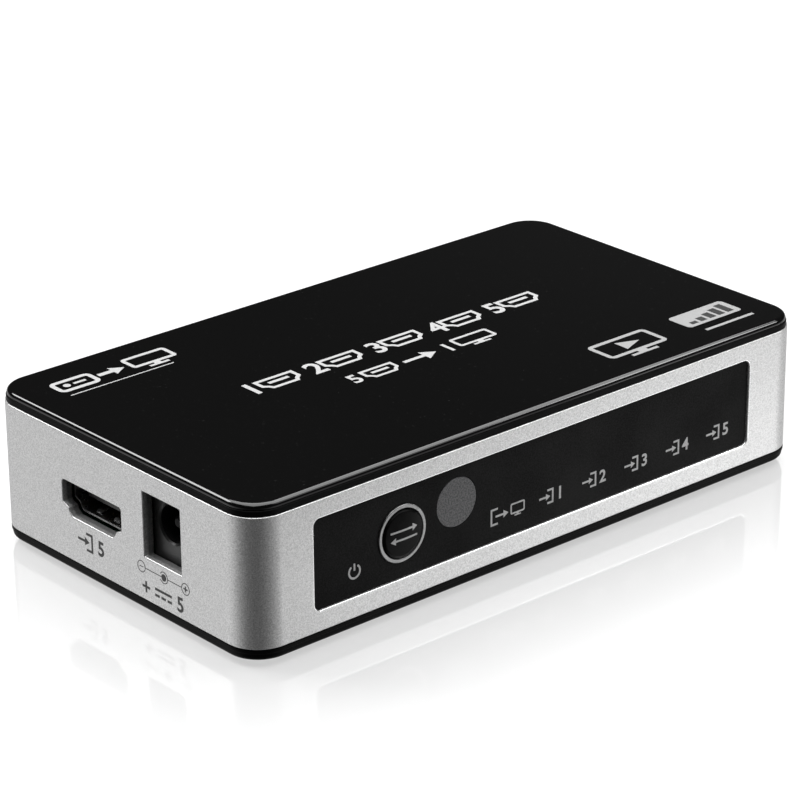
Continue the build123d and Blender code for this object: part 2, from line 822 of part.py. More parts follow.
# Power jack body: square face, round-topped barrel, bore and the spring's window
with BuildPart() as jack_body:
    with BuildSketch(jack_plane()):
        with Locations((0, jack_height / 2 - jack_bore_rise)):
            Rectangle(jack_width, jack_height)
    extrude(amount=-jack_face_depth)
    with BuildSketch(jack_plane()):
        Circle(jack_barrel_radius)
        with Locations((0, -jack_bore_rise / 2)):
            Rectangle(2 * jack_barrel_radius, jack_bore_rise)
    extrude(amount=-jack_depth)
    with BuildSketch(jack_plane()):
        Circle(jack_bore_radius)
    extrude(amount=-jack_bore_depth, mode=Mode.SUBTRACT)
    chamfer(
        edges().filter_by(GeomType.CIRCLE).sort_by(Axis.X)[0],
        jack_bore_chamfer,
    )
    with BuildSketch(jack_plane().offset(-jack_window_start)):
        with Locations((0, -jack_bore_rise / 2)):
            Rectangle(jack_window_width, jack_bore_rise)
    extrude(amount=-jack_window_length, mode=Mode.SUBTRACT)
jack_body.part.label = "jack_body"
export_step(jack_body.part, "parts/jack_body.step")

# Power jack pin: stands on the back of the bore
with BuildPart() as jack_pin:
    with BuildSketch(jack_plane().offset(-jack_bore_depth)):
        Circle(jack_pin_radius)
    extrude(amount=jack_bore_depth - jack_pin_setback)
    chamfer(faces().sort_by(Axis.X)[0].edges(), jack_pin_chamfer)
jack_pin.part.label = "jack_pin"
export_step(jack_pin.part, "parts/jack_pin.step")

# Power jack spring: a leaf that rises into the bore and stands on the board
with BuildPart() as jack_spring:
    along = Plane(
        origin=(left_wall + socket_gap, jack_y, jack_bore_z), x_dir=(1, 0, 0), z_dir=(0, -1, 0)
    )
    with BuildSketch(along):
        with BuildLine():
            leaf_foot = jack_spring_thickness / 2 - jack_bore_rise
            leaf_start = jack_window_start + 2 * jack_spring_thickness
            leaf_end = jack_window_start + jack_window_length - 2 * jack_spring_thickness
            leaf_crest = jack_spring_reach - jack_bore_radius
            Polyline(
                (leaf_start, leaf_crest - 2 * jack_spring_reach),
                ((leaf_start + leaf_end) / 2, leaf_crest),
                (leaf_end, leaf_crest - 2 * jack_spring_reach),
                (leaf_end, leaf_foot),
                (leaf_start, leaf_foot),
            )
        trace(line_width=jack_spring_thickness)
    extrude(amount=jack_spring_width / 2, both=True)
jack_spring.part.label = "jack_spring"
export_step(jack_spring.part, "parts/jack_spring.step")


def place_by_shares(shares):
    """A place on the board, given as shares of its length and width from its middle."""
    return (board_length * shares[0], board_width * shares[1])


def board_block(place, length, width, height):
    """A moulded chip body that stands on the board."""
    with BuildPart() as block:
        with BuildSketch(Plane.XY.offset(board_top)):
            with Locations(place):
                Rectangle(length, width)
        extrude(amount=height)
        chamfer(faces().sort_by(Axis.Z)[-1].edges(), chip_edge)
    return block


# Chips: the video switch, its controller and the power regulator
switch_chip = board_block(
    place_by_shares(switch_chip_shares), switch_chip_side, switch_chip_side, switch_chip_height
)
switch_chip.part.label = "switch_chip"
export_step(switch_chip.part, "parts/switch_chip.step")
control_chip = board_block(
    place_by_shares(control_chip_shares),
    control_chip_length,
    control_chip_width,
    control_chip_height,
)
control_chip.part.label = "control_chip"
export_step(control_chip.part, "parts/control_chip.step")
voltage_regulator = board_block(
    (regulator_x, board_width * regulator_depth_share),
    regulator_length,
    regulator_width,
    regulator_height,
)
voltage_regulator.part.label = "voltage_regulator"
export_step(voltage_regulator.part, "parts/voltage_regulator.step")

# Power inductor: square shield with the round top of its core
with BuildPart() as power_inductor:
    inductor_place = (inductor_x, board_width * inductor_depth_share)
    with BuildSketch(Plane.XY.offset(board_top)):
        with Locations(inductor_place):
            Rectangle(inductor_side, inductor_side)
    extrude(amount=inductor_height - 2 * chip_edge)
    with BuildSketch(Plane.XY.offset(board_top)):
        with Locations(inductor_place):
            Circle(inductor_core_radius)
    extrude(amount=inductor_height)
power_inductor.part.label = "power_inductor"
export_step(power_inductor.part, "parts/power_inductor.step")

# Filter capacitors: aluminium cans on square bases
with BuildPart() as filter_capacitors:
    capacitor_places = [
        (input_capacitor_x, board_width * input_capacitor_depth_share),
        (filter_capacitor_x, board_width * filter_capacitor_depth_share),
        place_by_shares(output_capacitor_shares),
    ]
    with BuildSketch(Plane.XY.offset(board_top)):
        with Locations(*capacitor_places):
            Rectangle(capacitor_base, capacitor_base)
    extrude(amount=capacitor_base_height)
    with BuildSketch(Plane.XY.offset(board_top)):
        with Locations(*capacitor_places):
            Circle(capacitor_radius)
    extrude(amount=capacitor_height)
    fillet(faces().group_by(Axis.Z)[-1].edges(), capacitor_edge_radius)
filter_capacitors.part.label = "filter_capacitors"
export_step(filter_capacitors.part, "parts/filter_capacitors.step")

# Clock crystal: a round-ended metal can
with BuildPart() as clock_crystal:
    with BuildSketch(Plane.XY.offset(board_top)):
        with Locations(place_by_shares(crystal_shares)):
            SlotOverall(crystal_length, crystal_width)
    extrude(amount=crystal_height)
    fillet(faces().sort_by(Axis.Z)[-1].edges(), crystal_edge_radius)
clock_crystal.part.label = "clock_crystal"
export_step(clock_crystal.part, "parts/clock_crystal.step")


def cross_drive(radius):
    """The outline of the cross recess in a screw head."""
    with BuildSketch() as cross:
        Rectangle(drive_share * radius, drive_width)
        Rectangle(drive_width, drive_share * radius)
    return cross.sketch


# Case screws: driven from below, heads on the floor of their counterbores
with BuildPart() as case_screws:
    screw_seat = case_bottom + screw_sink_depth
    with BuildSketch(Plane.XY.offset(screw_seat)):
        with GridLocations(2 * screw_x, 2 * screw_y, 2, 2):
            Circle(case_head_radius)
    extrude(amount=-case_head_height)
    fillet(faces().group_by(Axis.Z)[0].edges(), head_edge_radius)
    with BuildSketch(Plane.XY.offset(screw_seat)):
        with GridLocations(2 * screw_x, 2 * screw_y, 2, 2):
            Circle(case_shank_radius)
    extrude(amount=case_shank_length)
    with BuildSketch(Plane.XY.offset(screw_seat - case_head_height)):
        with GridLocations(2 * screw_x, 2 * screw_y, 2, 2):
            add(cross_drive(case_head_radius))
    extrude(amount=drive_depth, mode=Mode.SUBTRACT)
case_screws.part.label = "case_screws"
export_step(case_screws.part, "parts/case_screws.step")

# Board screws: driven from above into the bosses
with BuildPart() as board_screw_set:
    with BuildSketch(Plane.XY.offset(board_top)):
        with Locations(*board_screw_places):
            Circle(board_head_radius)
    extrude(amount=board_head_height)
    fillet(faces().group_by(Axis.Z)[-1].edges(), head_edge_radius)
    with BuildSketch(Plane.XY.offset(board_top)):
        with Locations(*board_screw_places):
            Circle(board_shank_radius)
    extrude(amount=-board_shank_length)
    with BuildSketch(Plane.XY.offset(board_top + board_head_height)):
        with Locations(*board_screw_places):
            add(cross_drive(board_head_radius))
    extrude(amount=-drive_depth, mode=Mode.SUBTRACT)
board_screw_set.part.label = "board_screws"
export_step(board_screw_set.part, "parts/board_screws.step")

# Rubber feet: discs stuck in the recesses of the bottom cover
with BuildPart() as rubber_feet:
    with BuildSketch():
        with GridLocations(2 * foot_x, 2 * foot_y, 2, 2):
            Circle(foot_radius)
    extrude(amount=foot_proud + foot_recess)
    fillet(faces().group_by(Axis.Z)[0].edges(), foot_edge_radius)
rubber_feet.part.label = "rubber_feet"
export_step(rubber_feet.part, "parts/rubber_feet.step")
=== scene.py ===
import json
import math
import bmesh
import bpy
from mathutils import Matrix, Vector
from mathutils.bvhtree import BVHTree

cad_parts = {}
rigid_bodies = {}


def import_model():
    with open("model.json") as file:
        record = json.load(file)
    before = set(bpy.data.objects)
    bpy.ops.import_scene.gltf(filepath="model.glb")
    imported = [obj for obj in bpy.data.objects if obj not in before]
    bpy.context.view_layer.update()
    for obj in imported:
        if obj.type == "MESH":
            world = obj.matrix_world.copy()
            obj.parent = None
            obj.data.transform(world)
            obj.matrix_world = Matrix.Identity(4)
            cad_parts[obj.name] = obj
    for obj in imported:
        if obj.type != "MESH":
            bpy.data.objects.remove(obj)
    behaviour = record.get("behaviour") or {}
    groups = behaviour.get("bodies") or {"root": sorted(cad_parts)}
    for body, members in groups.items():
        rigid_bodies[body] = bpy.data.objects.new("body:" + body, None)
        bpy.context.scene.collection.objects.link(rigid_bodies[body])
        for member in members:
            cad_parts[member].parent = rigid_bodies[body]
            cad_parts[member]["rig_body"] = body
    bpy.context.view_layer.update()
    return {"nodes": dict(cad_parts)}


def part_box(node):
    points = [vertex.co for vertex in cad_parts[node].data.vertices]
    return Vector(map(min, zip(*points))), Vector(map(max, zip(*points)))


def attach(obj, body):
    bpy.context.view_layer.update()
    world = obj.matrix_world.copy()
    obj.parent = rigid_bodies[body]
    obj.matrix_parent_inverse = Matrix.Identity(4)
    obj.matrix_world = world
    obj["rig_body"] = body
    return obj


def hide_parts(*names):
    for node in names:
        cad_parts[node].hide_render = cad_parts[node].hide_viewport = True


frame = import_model()
nodes = frame["nodes"]
mm = 0.001
caseCorner = 5.9 * mm  # the case's corners, seen from above
print("frame loaded:", len(nodes), "nodes")


# Shader maths: a value is one socket, so a sum of values reads as a sum
class Value:
    def __init__(self, shading, socket):
        self.shading = shading
        self.socket = socket

    def __add__(self, other):
        return self.shading.maths("ADD", self, other)

    def __sub__(self, other):
        return self.shading.maths("SUBTRACT", self, other)

    def __rsub__(self, other):
        return self.shading.maths("SUBTRACT", other, self)

    def __mul__(self, other):
        return self.shading.maths("MULTIPLY", self, other)

    def __gt__(self, other):
        return self.shading.maths("GREATER_THAN", self, other)

    __radd__ = __add__
    __rmul__ = __mul__


# A shader tree, every node of which comes from node()
class Shading:
    def __init__(self, tree):
        self.tree = tree

    def node(self, kind, settings=None, sockets=None, output=0):
        made = self.tree.nodes.new(kind)
        for setting, value in (settings or {}).items():
            if setting == "stops":
                for element, (at, colour) in zip(made.color_ramp.elements, value):
                    element.position, element.color = at, colour
            else:
                setattr(made, setting, value)
        for socket, value in (sockets or {}).items():
            self.feed(made.inputs[socket], value)
        return Value(self, made.outputs[output])

    def maths(self, operation, *values):
        return self.node("ShaderNodeMath", {"operation": operation}, dict(enumerate(values)))

    def feed(self, socket, value):
        if isinstance(value, Value):
            self.tree.links.new(value.socket, socket)
        else:
            socket.default_value = value

    def between(self, value, low, high):
        # 0 below low, 1 above high, smooth between them
        return self.node(
            "ShaderNodeMapRange",
            {"interpolation_type": "SMOOTHSTEP"},
            {"Value": value, "From Min": low, "From Max": high},
        )

    def mixColour(self, factor, first, second):
        return self.node(
            "ShaderNodeMix", {"data_type": "RGBA"}, {0: factor, 6: first, 7: second}, output=2
        )


# One material, on the piece's own coordinates
class Finish(Shading):
    def __init__(self, name):
        self.material = bpy.data.materials.new(name)
        self.material.use_nodes = True
        super().__init__(self.material.node_tree)
        self.shader = self.tree.nodes["Principled BSDF"]
        self.place = self.node("ShaderNodeTexCoord", output="Object")

    def grain(self, size, detail=2.0, roughness=0.5, squeeze=(1, 1, 1)):
        # noise whose blotches are about size metres across, less on an axis that is squeezed
        at = self.node("ShaderNodeMapping", sockets={"Vector": self.place, "Scale": squeeze})
        return self.node(
            "ShaderNodeTexNoise",
            sockets={"Vector": at, "Scale": 1 / size, "Detail": detail, "Roughness": roughness},
            output="Fac",
        )

    def depthInside(self, low, high, corner, plane="XY"):
        # how far a point lies inside a box with round corners, seen across one plane
        sides = []
        for name in plane:
            axis = "XYZ".index(name)
            at = self.node("ShaderNodeSeparateXYZ", sockets={"Vector": self.place}, output=name)
            middle, half = (low[axis] + high[axis]) / 2, (high[axis] - low[axis]) / 2
            sides.append(self.maths("ABSOLUTE", at - middle) - (half - corner))
        past = [self.maths("MAXIMUM", side, 0.0) for side in sides]
        reach = self.maths("SQRT", past[0] * past[0] + past[1] * past[1])
        short = self.maths("MINIMUM", self.maths("MAXIMUM", sides[0], sides[1]), 0.0)
        return corner - reach - short

    def blend(self, first, second, share):
        return first * share + second * (1 - share)

    def uneven(self, level, noise, spread):
        # the level where the noise is at its middle, and half the spread off at its ends
        middle = 0.5
        return level + (noise - middle) * spread

    def bump(self, height, distance, strength=1.0):
        return self.node(
            "ShaderNodeBump",
            sockets={"Height": height, "Distance": distance, "Strength": strength},
            output="Normal",
        )

    def surface(self, **sockets):
        for name, value in sockets.items():
            self.feed(self.shader.inputs[name.replace("_", " ")], value)
        return self.material


def grey(level, alpha=1.0):
    return (level, level, level, alpha)


# Lengths in the finishes are metres. A contrast or a range is the part of a noise, which runs
# from 0 to 1, over which one thing turns to the other
plasticLook = {
    "fineShare": 0.6, "contrast": (0.3, 0.7), "blotch": 0.012, "patchy": 0.12, "sheen": 0.5,
    "coat": 0.0, "coatRoughness": 0.05,
}


# Moulded surfaces, which differ only in their numbers
def moulded(name, look):
    look = {**plasticLook, **look}
    finish = Finish(name)
    fine = finish.grain(look["grain"], detail=3.0, roughness=0.6)
    broad = finish.grain(look["blotch"])
    tone = finish.between(finish.blend(fine, broad, look["fineShare"]), *look["contrast"])
    return finish.surface(
        Base_Color=finish.mixColour(tone, look["dark"], look["light"]),
        Roughness=finish.uneven(look["roughness"], fine, look["patchy"]),
        Specular_IOR_Level=look["sheen"],
        Coat_Weight=look["coat"],
        Coat_Roughness=look["coatRoughness"],
        Normal=finish.bump(fine, look["bump"]),
    )


metalLook = {"stain": 0.003, "lineShare": 0.5, "contrast": (0.35, 0.65), "patchy": 0.15}


# Metal with fine lines across the axis that is squeezed, or specks where none is
def brushed(name, look):
    look = {**metalLook, **look}
    finish = Finish(name)
    lines = finish.grain(look["line"], detail=3.0, roughness=0.65, squeeze=look["squeeze"])
    stain = finish.grain(look["stain"], detail=3.0, roughness=0.6)
    tone = finish.between(finish.blend(lines, stain, look["lineShare"]), *look["contrast"])
    return finish.surface(
        Base_Color=finish.mixColour(tone, look["dark"], look["light"]),
        Roughness=finish.uneven(look["roughness"], stain, look["patchy"]),
        Metallic=1.0,
        Normal=finish.bump(lines, look["bump"]),
    )


silverLook = {
    "flake": 0.00016, "mottle": 0.0003, "flakeShare": 0.5, "contrast": (0.3, 0.7),
    "sprayed": (grey(0.45), grey(0.84)), "shadedInside": (grey(0.12), grey(0.26)), "cut": grey(0.97),
    "roughness": 0.42, "patchy": 0.15, "shadedRougher": 0.15, "lipSmoother": 0.2,
    "metallic": 0.8, "shadedDuller": 0.3, "bump": 0.00001, "bumpStrength": 0.4,
    "shadeFrom": 0.45 * mm, "shadeFull": 1.1 * mm, "panelCorner": 1.2 * mm,
    "lipFrom": 0.36 * mm, "lipTo": 0.28 * mm,
}


def silverPaint(look):
    # fine metal flakes in a satin spray, with painted shade on the walls inside the openings,
    # where it is also duller and rougher
    finish = Finish("silverPaint")
    flake = finish.grain(look["flake"], detail=1.0)
    mottle = finish.grain(look["mottle"], detail=3.0, roughness=0.7)
    specks = finish.blend(flake, mottle, look["flakeShare"])
    tone = finish.between(specks, *look["contrast"])
    sprayed = finish.mixColour(tone, *look["sprayed"])
    shadedInside = finish.mixColour(tone, *look["shadedInside"])
    depth = finish.depthInside(*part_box("side_band"), caseCorner)
    # painted shade: the deeper a point lies inside an opening, the darker its colour
    paintedShadeInside = finish.between(depth, look["shadeFrom"], look["shadeFull"])
    # a painted highlight: the lip of the panel's recess, on the front alone, is coloured
    # near-white and made smoother
    inPanel = finish.depthInside(*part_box("front_overlay"), look["panelCorner"], "XZ")
    behind = finish.node(
        "ShaderNodeSeparateXYZ", sockets={"Vector": finish.place}, output="Y") > 0.0
    highlightedLip = finish.between(inPanel, -look["lipFrom"], -look["lipTo"]) * (1 - paintedShadeInside) * (1 - behind)
    sprayedAndShaded = finish.mixColour(paintedShadeInside, sprayed, shadedInside)
    rough = finish.uneven(look["roughness"], mottle, look["patchy"])
    return finish.surface(
        Base_Color=finish.mixColour(highlightedLip, sprayedAndShaded, look["cut"]),
        Roughness=rough + paintedShadeInside * look["shadedRougher"] - highlightedLip * look["lipSmoother"],
        Metallic=look["metallic"] - paintedShadeInside * look["shadedDuller"],
        Normal=finish.bump(specks, look["bump"], look["bumpStrength"]),
    )


glossLook = {
    "peel": 0.004, "bump": 0.000004, "hairline": 0.0012, "squeeze": (1, 14, 1),
    "hairlineRange": (0.66, 0.72), "dust": 0.00035, "dustRange": (0.74, 0.8),
    "clean": grey(0.003), "dusty": grey(0.012), "roughness": 0.07, "hairlineRougher": 0.05,
    "dustRougher": 0.2, "index": 1.5, "coat": 0.1, "coatRoughness": 0.04,
}


def glossBlack(look):
    # clear gloss with a trace of orange peel, a few hairlines and settled dust
    finish = Finish("glossBlack")
    peel = finish.grain(look["peel"], detail=1.0)
    scratches = finish.grain(look["hairline"], squeeze=look["squeeze"])
    hairline = finish.between(scratches, *look["hairlineRange"])
    dust = finish.between(finish.grain(look["dust"], detail=1.0), *look["dustRange"])
    rough = look["roughness"] + hairline * look["hairlineRougher"] + dust * look["dustRougher"]
    return finish.surface(
        Base_Color=finish.mixColour(dust, look["clean"], look["dusty"]),
        Roughness=rough,
        IOR=look["index"],
        Coat_Weight=look["coat"],
        Coat_Roughness=look["coatRoughness"],
        Normal=finish.bump(peel, look["bump"]),
    )


smokyLook = {
    "grain": 0.0003, "bump": 0.00003, "dark": (0.01, 0.01, 0.012, 1),
    "light": (0.128, 0.128, 0.132, 1), "contrast": (0.35, 0.65), "roughness": 0.42,
    "patchy": 0.3,
}


def smokyWindow(look):
    # dark filter plastic, frosted by its fine grain
    finish = Finish("smokyWindow")
    fine = finish.grain(look["grain"], detail=3.0, roughness=0.7)
    tone = finish.between(fine, *look["contrast"])
    return finish.surface(
        Base_Color=finish.mixColour(tone, look["dark"], look["light"]),
        Roughness=finish.uneven(look["roughness"], fine, look["patchy"]),
        Normal=finish.bump(fine, look["bump"]),
    )


boardLook = {
    "pitch": 0.0011, "gap": 0.03, "stagger": 0.5, "patch": 0.006, "patchRange": (0.45, 0.5),
    "dark": (0.004, 0.05, 0.02, 1), "light": (0.01, 0.12, 0.05, 1), "roughness": 0.28,
    "patchRougher": 0.1, "bump": 0.00003,
}


def boardGreen(look):
    # solder mask with tracks under it, as bands of lighter green on a grid
    finish = Finish("boardGreen")
    rowHeight = 0.25  # of the brick texture, in its own units
    bricks = finish.node(
        "ShaderNodeTexBrick",
        {"offset": look["stagger"]},
        {"Vector": finish.place, "Scale": rowHeight / look["pitch"], "Mortar Size": look["gap"]},
        output="Fac",
    )
    patch = finish.between(finish.grain(look["patch"], detail=1.0), *look["patchRange"])
    tracks = bricks * patch
    return finish.surface(
        Base_Color=finish.mixColour(tracks, look["dark"], look["light"]),
        Roughness=look["roughness"] + patch * look["patchRougher"],
        Normal=finish.bump(tracks, look["bump"]),
    )


clearLook = {
    "haze": 0.0008, "bump": 0.00001, "hazy": grey(0.9), "patchy": 0.1, "clear": 0.7, "index": 1.5,
}


def clearPlastic(name, tint, roughness):
    look = clearLook
    finish = Finish(name)
    haze = finish.grain(look["haze"])
    return finish.surface(
        Base_Color=finish.mixColour(haze, tint, look["hazy"]),
        Roughness=finish.uneven(roughness, haze, look["patchy"]),
        Transmission_Weight=look["clear"],
        IOR=look["index"],
        Normal=finish.bump(haze, look["bump"]),
    )


inkLook = {
    "weave": 0.00012, "bump": 0.000004, "contrast": (0.3, 0.7), "roughness": 0.45, "patchy": 0.2,
}


def printInk(name, dark, light):
    # screen ink, a little uneven where the mesh of the screen left it thin
    look = inkLook
    finish = Finish(name)
    weave = finish.grain(look["weave"])
    tone = finish.between(weave, *look["contrast"])
    return finish.surface(
        Base_Color=finish.mixColour(tone, dark, light),
        Roughness=finish.uneven(look["roughness"], weave, look["patchy"]),
        Normal=finish.bump(weave, look["bump"]),
    )


plastics = {
    "satinBlack": {"dark": grey(0.002), "light": grey(0.005), "roughness": 0.38, "sheen": 0.035,
                   "grain": 0.0004, "bump": 0.000012},
    "mattBlack": {"dark": grey(0.0005), "light": grey(0.015), "roughness": 0.45, "sheen": 0.045,
                  "grain": 0.00025, "bump": 0.000022, "patchy": 0.2},
    "buttonBlack": {"dark": grey(0.002), "light": grey(0.005), "roughness": 0.3,
                    "sheen": 0.05, "grain": 0.0009, "bump": 0.000004},
    "switchBlack": {"dark": grey(0.02), "light": grey(0.04), "roughness": 0.5, "grain": 0.0003,
                    "bump": 0.00001},
    "socketBlack": {"dark": grey(0.008), "light": grey(0.018), "roughness": 0.36,
                    "grain": 0.0004, "bump": 0.00001},
    "darkEpoxy": {"dark": (0.012, 0.008, 0.012, 1), "light": (0.03, 0.02, 0.03, 1),
                  "roughness": 0.2, "grain": 0.0006, "bump": 0.000006, "coat": 0.3},
    "chipBlack": {"dark": grey(0.012), "light": grey(0.03), "roughness": 0.55,
                  "grain": 0.0002, "bump": 0.00001},
    "ferrite": {"dark": grey(0.05), "light": grey(0.1), "roughness": 0.6, "grain": 0.0004,
                "bump": 0.00002},
    "footRubber": {"dark": grey(0.012), "light": grey(0.024), "roughness": 0.75,
                   "grain": 0.0005, "bump": 0.00004},
}
metals = {
    "brightPlating": {"dark": grey(0.24), "light": grey(0.34), "roughness": 0.36, "line": 0.0006,
                      "squeeze": (1, 1, 1), "bump": 0.000004},
    "tinnedSteel": {"dark": grey(0.42), "light": grey(0.6), "roughness": 0.34, "line": 0.0005,
                    "squeeze": (1, 8, 1), "bump": 0.000006},
    # painted shade: the jack's plated pin and spring are coloured near-black for the shade deep
    # inside the jack
    "pinInShade": {"dark": grey(0.02), "light": grey(0.04), "roughness": 0.55, "line": 0.0004,
                  "squeeze": (8, 1, 1), "bump": 0.000004},
    "socketShell": {"dark": grey(0.42), "light": grey(0.68), "roughness": 0.28, "line": 0.0004,
                    "squeeze": (1, 1, 9), "bump": 0.000006},
    "contactGold": {"dark": (0.62, 0.4, 0.12, 1), "light": (0.85, 0.6, 0.22, 1),
                    "roughness": 0.24, "line": 0.0004, "squeeze": (1, 6, 1), "bump": 0.000004},
    "canAluminium": {"dark": grey(0.6), "light": grey(0.78), "roughness": 0.3, "line": 0.0005,
                     "squeeze": (1, 1, 7), "bump": 0.000006},
    "canSteel": {"dark": grey(0.5), "light": grey(0.68), "roughness": 0.26, "line": 0.0006,
                 "squeeze": (6, 1, 1), "bump": 0.000006},
    "zincScrew": {"dark": grey(0.28), "light": grey(0.46), "roughness": 0.36, "line": 0.0004,
                  "squeeze": (1, 1, 5), "bump": 0.00001},
}
# tint and roughness
clears = {
    "clearPlastic": ((0.8, 0.86, 0.9, 1), 0.08),
    "lampEpoxy": ((0.6, 0.7, 0.95, 1), 0.15),
}
# where the ink is thin, and where it is thick
inks = {
    "printWhite": (grey(0.35), grey(0.45)),
    "printSilver": (grey(0.24), grey(0.33)),
    "printGrey": (grey(0.42), grey(0.6)),
    "printBlack": (grey(0.008), grey(0.02)),
}
finishes = {name: moulded(name, look) for name, look in plastics.items()}
finishes.update({name: brushed(name, look) for name, look in metals.items()})
finishes["silverPaint"] = silverPaint(silverLook)
finishes["glossBlack"] = glossBlack(glossLook)
finishes["smokyWindow"] = smokyWindow(smokyLook)
finishes["boardGreen"] = boardGreen(boardLook)
finishes.update({name: clearPlastic(name, *look) for name, look in clears.items()})
finishes.update({name: printInk(name, *look) for name, look in inks.items()})
print("finishes made:", len(finishes))

# Which finish each node of the part takes
videoSockets = ("input_5", "output", "input_1", "input_2", "input_3", "input_4")
nodeFinish = {
    "top_plate": "glossBlack",
    "top_cover": "satinBlack",
    "bottom_cover": "satinBlack",
    "side_band": "silverPaint",
    "front_overlay": "mattBlack",
    "button_ring": "brightPlating",
    "button_cap": "buttonBlack",
    "switch_plunger": "switchBlack",
    "switch_body": "switchBlack",
    "switch_bracket": "tinnedSteel",
    "ir_window": "smokyWindow",
    "ir_receiver": "darkEpoxy",
    "light_guides": "clearPlastic",
    "status_lamps": "lampEpoxy",
    "main_board": "boardGreen",
    "jack_body": "socketBlack",
    "jack_pin": "pinInShade",
    "jack_spring": "pinInShade",
    "switch_chip": "chipBlack",
    "control_chip": "chipBlack",
    "voltage_regulator": "chipBlack",
    "power_inductor": "ferrite",
    "filter_capacitors": "canAluminium",
    "clock_crystal": "canSteel",
    "case_screws": "zincScrew",
    "board_screws": "zincScrew",
    "rubber_feet": "footRubber",
}
for socket in videoSockets:
    nodeFinish[socket + "_shell"] = "socketShell"
    nodeFinish[socket + "_insulator"] = "socketBlack"
    nodeFinish[socket + "_contacts"] = "contactGold"
for name, finishName in nodeFinish.items():
    nodes[name].data.materials.clear()
    nodes[name].data.materials.append(finishes[finishName])
print("nodes finished:", len(nodeFinish))


def addPiece(name, mesh, finishName, body):
    piece = bpy.data.objects.new(name, mesh)
    bpy.context.scene.collection.objects.link(piece)
    mesh.materials.clear()
    mesh.materials.append(finishes[finishName])
    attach(piece, body)
    return piece


# Outer pieces get smooth curves and the small edge radii that catch the light
skinLook = {
    "side_band": {"radius": 0.2 * mm, "slot": "silver_paint"},
    "top_cover": {"radius": 0.06 * mm, "slot": "satin_black"},
    "bottom_cover": {"radius": 0.08 * mm, "slot": "satin_black"},
    "front_overlay": {"radius": 0.06 * mm, "slot": "matt_black"},
    "top_plate": {"radius": 0, "slot": "gloss_black"},
    "button_ring": {"radius": 0, "slot": "bright_plating"},
    "button_cap": {"radius": 0, "slot": "button_black"},
    "ir_window": {"radius": 0, "slot": "smoky_window"},
}
edgeLook = {"merge": 0.0005 * mm, "flat": math.radians(0.5), "sharp": math.radians(32),
            "segments": 3}


def addSkin(name, look):
    # the part's own shape, its loose triangles joined to whole faces
    mesh = nodes[name].data.copy()
    work = bmesh.new()
    work.from_mesh(mesh)
    bmesh.ops.remove_doubles(work, verts=work.verts, dist=edgeLook["merge"])
    bmesh.ops.dissolve_limit(
        work, angle_limit=edgeLook["flat"], verts=work.verts, edges=work.edges
    )
    work.to_mesh(mesh)
    work.free()
    mesh.shade_smooth()
    mesh.set_sharp_from_angle(angle=edgeLook["sharp"])
    skin = addPiece(name + "_skin", mesh, nodeFinish[name], nodes[name]["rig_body"])
    if look["radius"]:
        bevel = skin.modifiers.new("softEdge", "BEVEL")
        bevel.width = look["radius"]
        bevel.segments = edgeLook["segments"]
        bevel.limit_method = "ANGLE"
        bevel.angle_limit = edgeLook["sharp"]
        bevel.use_clamp_overlap = False
    even = skin.modifiers.new("evenShading", "WEIGHTED_NORMAL")
    even.keep_sharp = not look["radius"]
    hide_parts(name)


for nodeName, look in skinLook.items():
    addSkin(nodeName, look)
print("skins made:", len(skinLook))


# Spring fingers of the video sockets: one row is a tree that bends a strip and repeats it
fingerLook = {
    "count": 2,
    "pitch": 4.6 * mm,
    "length": 4.6 * mm,
    "width": 1.5 * mm,
    "thickness": 0.2 * mm,
    "rise": 0.55 * mm,
    "setback": 1.0 * mm,
    "sink": 0.06 * mm,
    "mouthHeight": 4.55 * mm,
    "shellWall": 0.3 * mm,
    "steps": 14,
    "merge": 0.001 * mm,
    "sharp": math.radians(40),
}


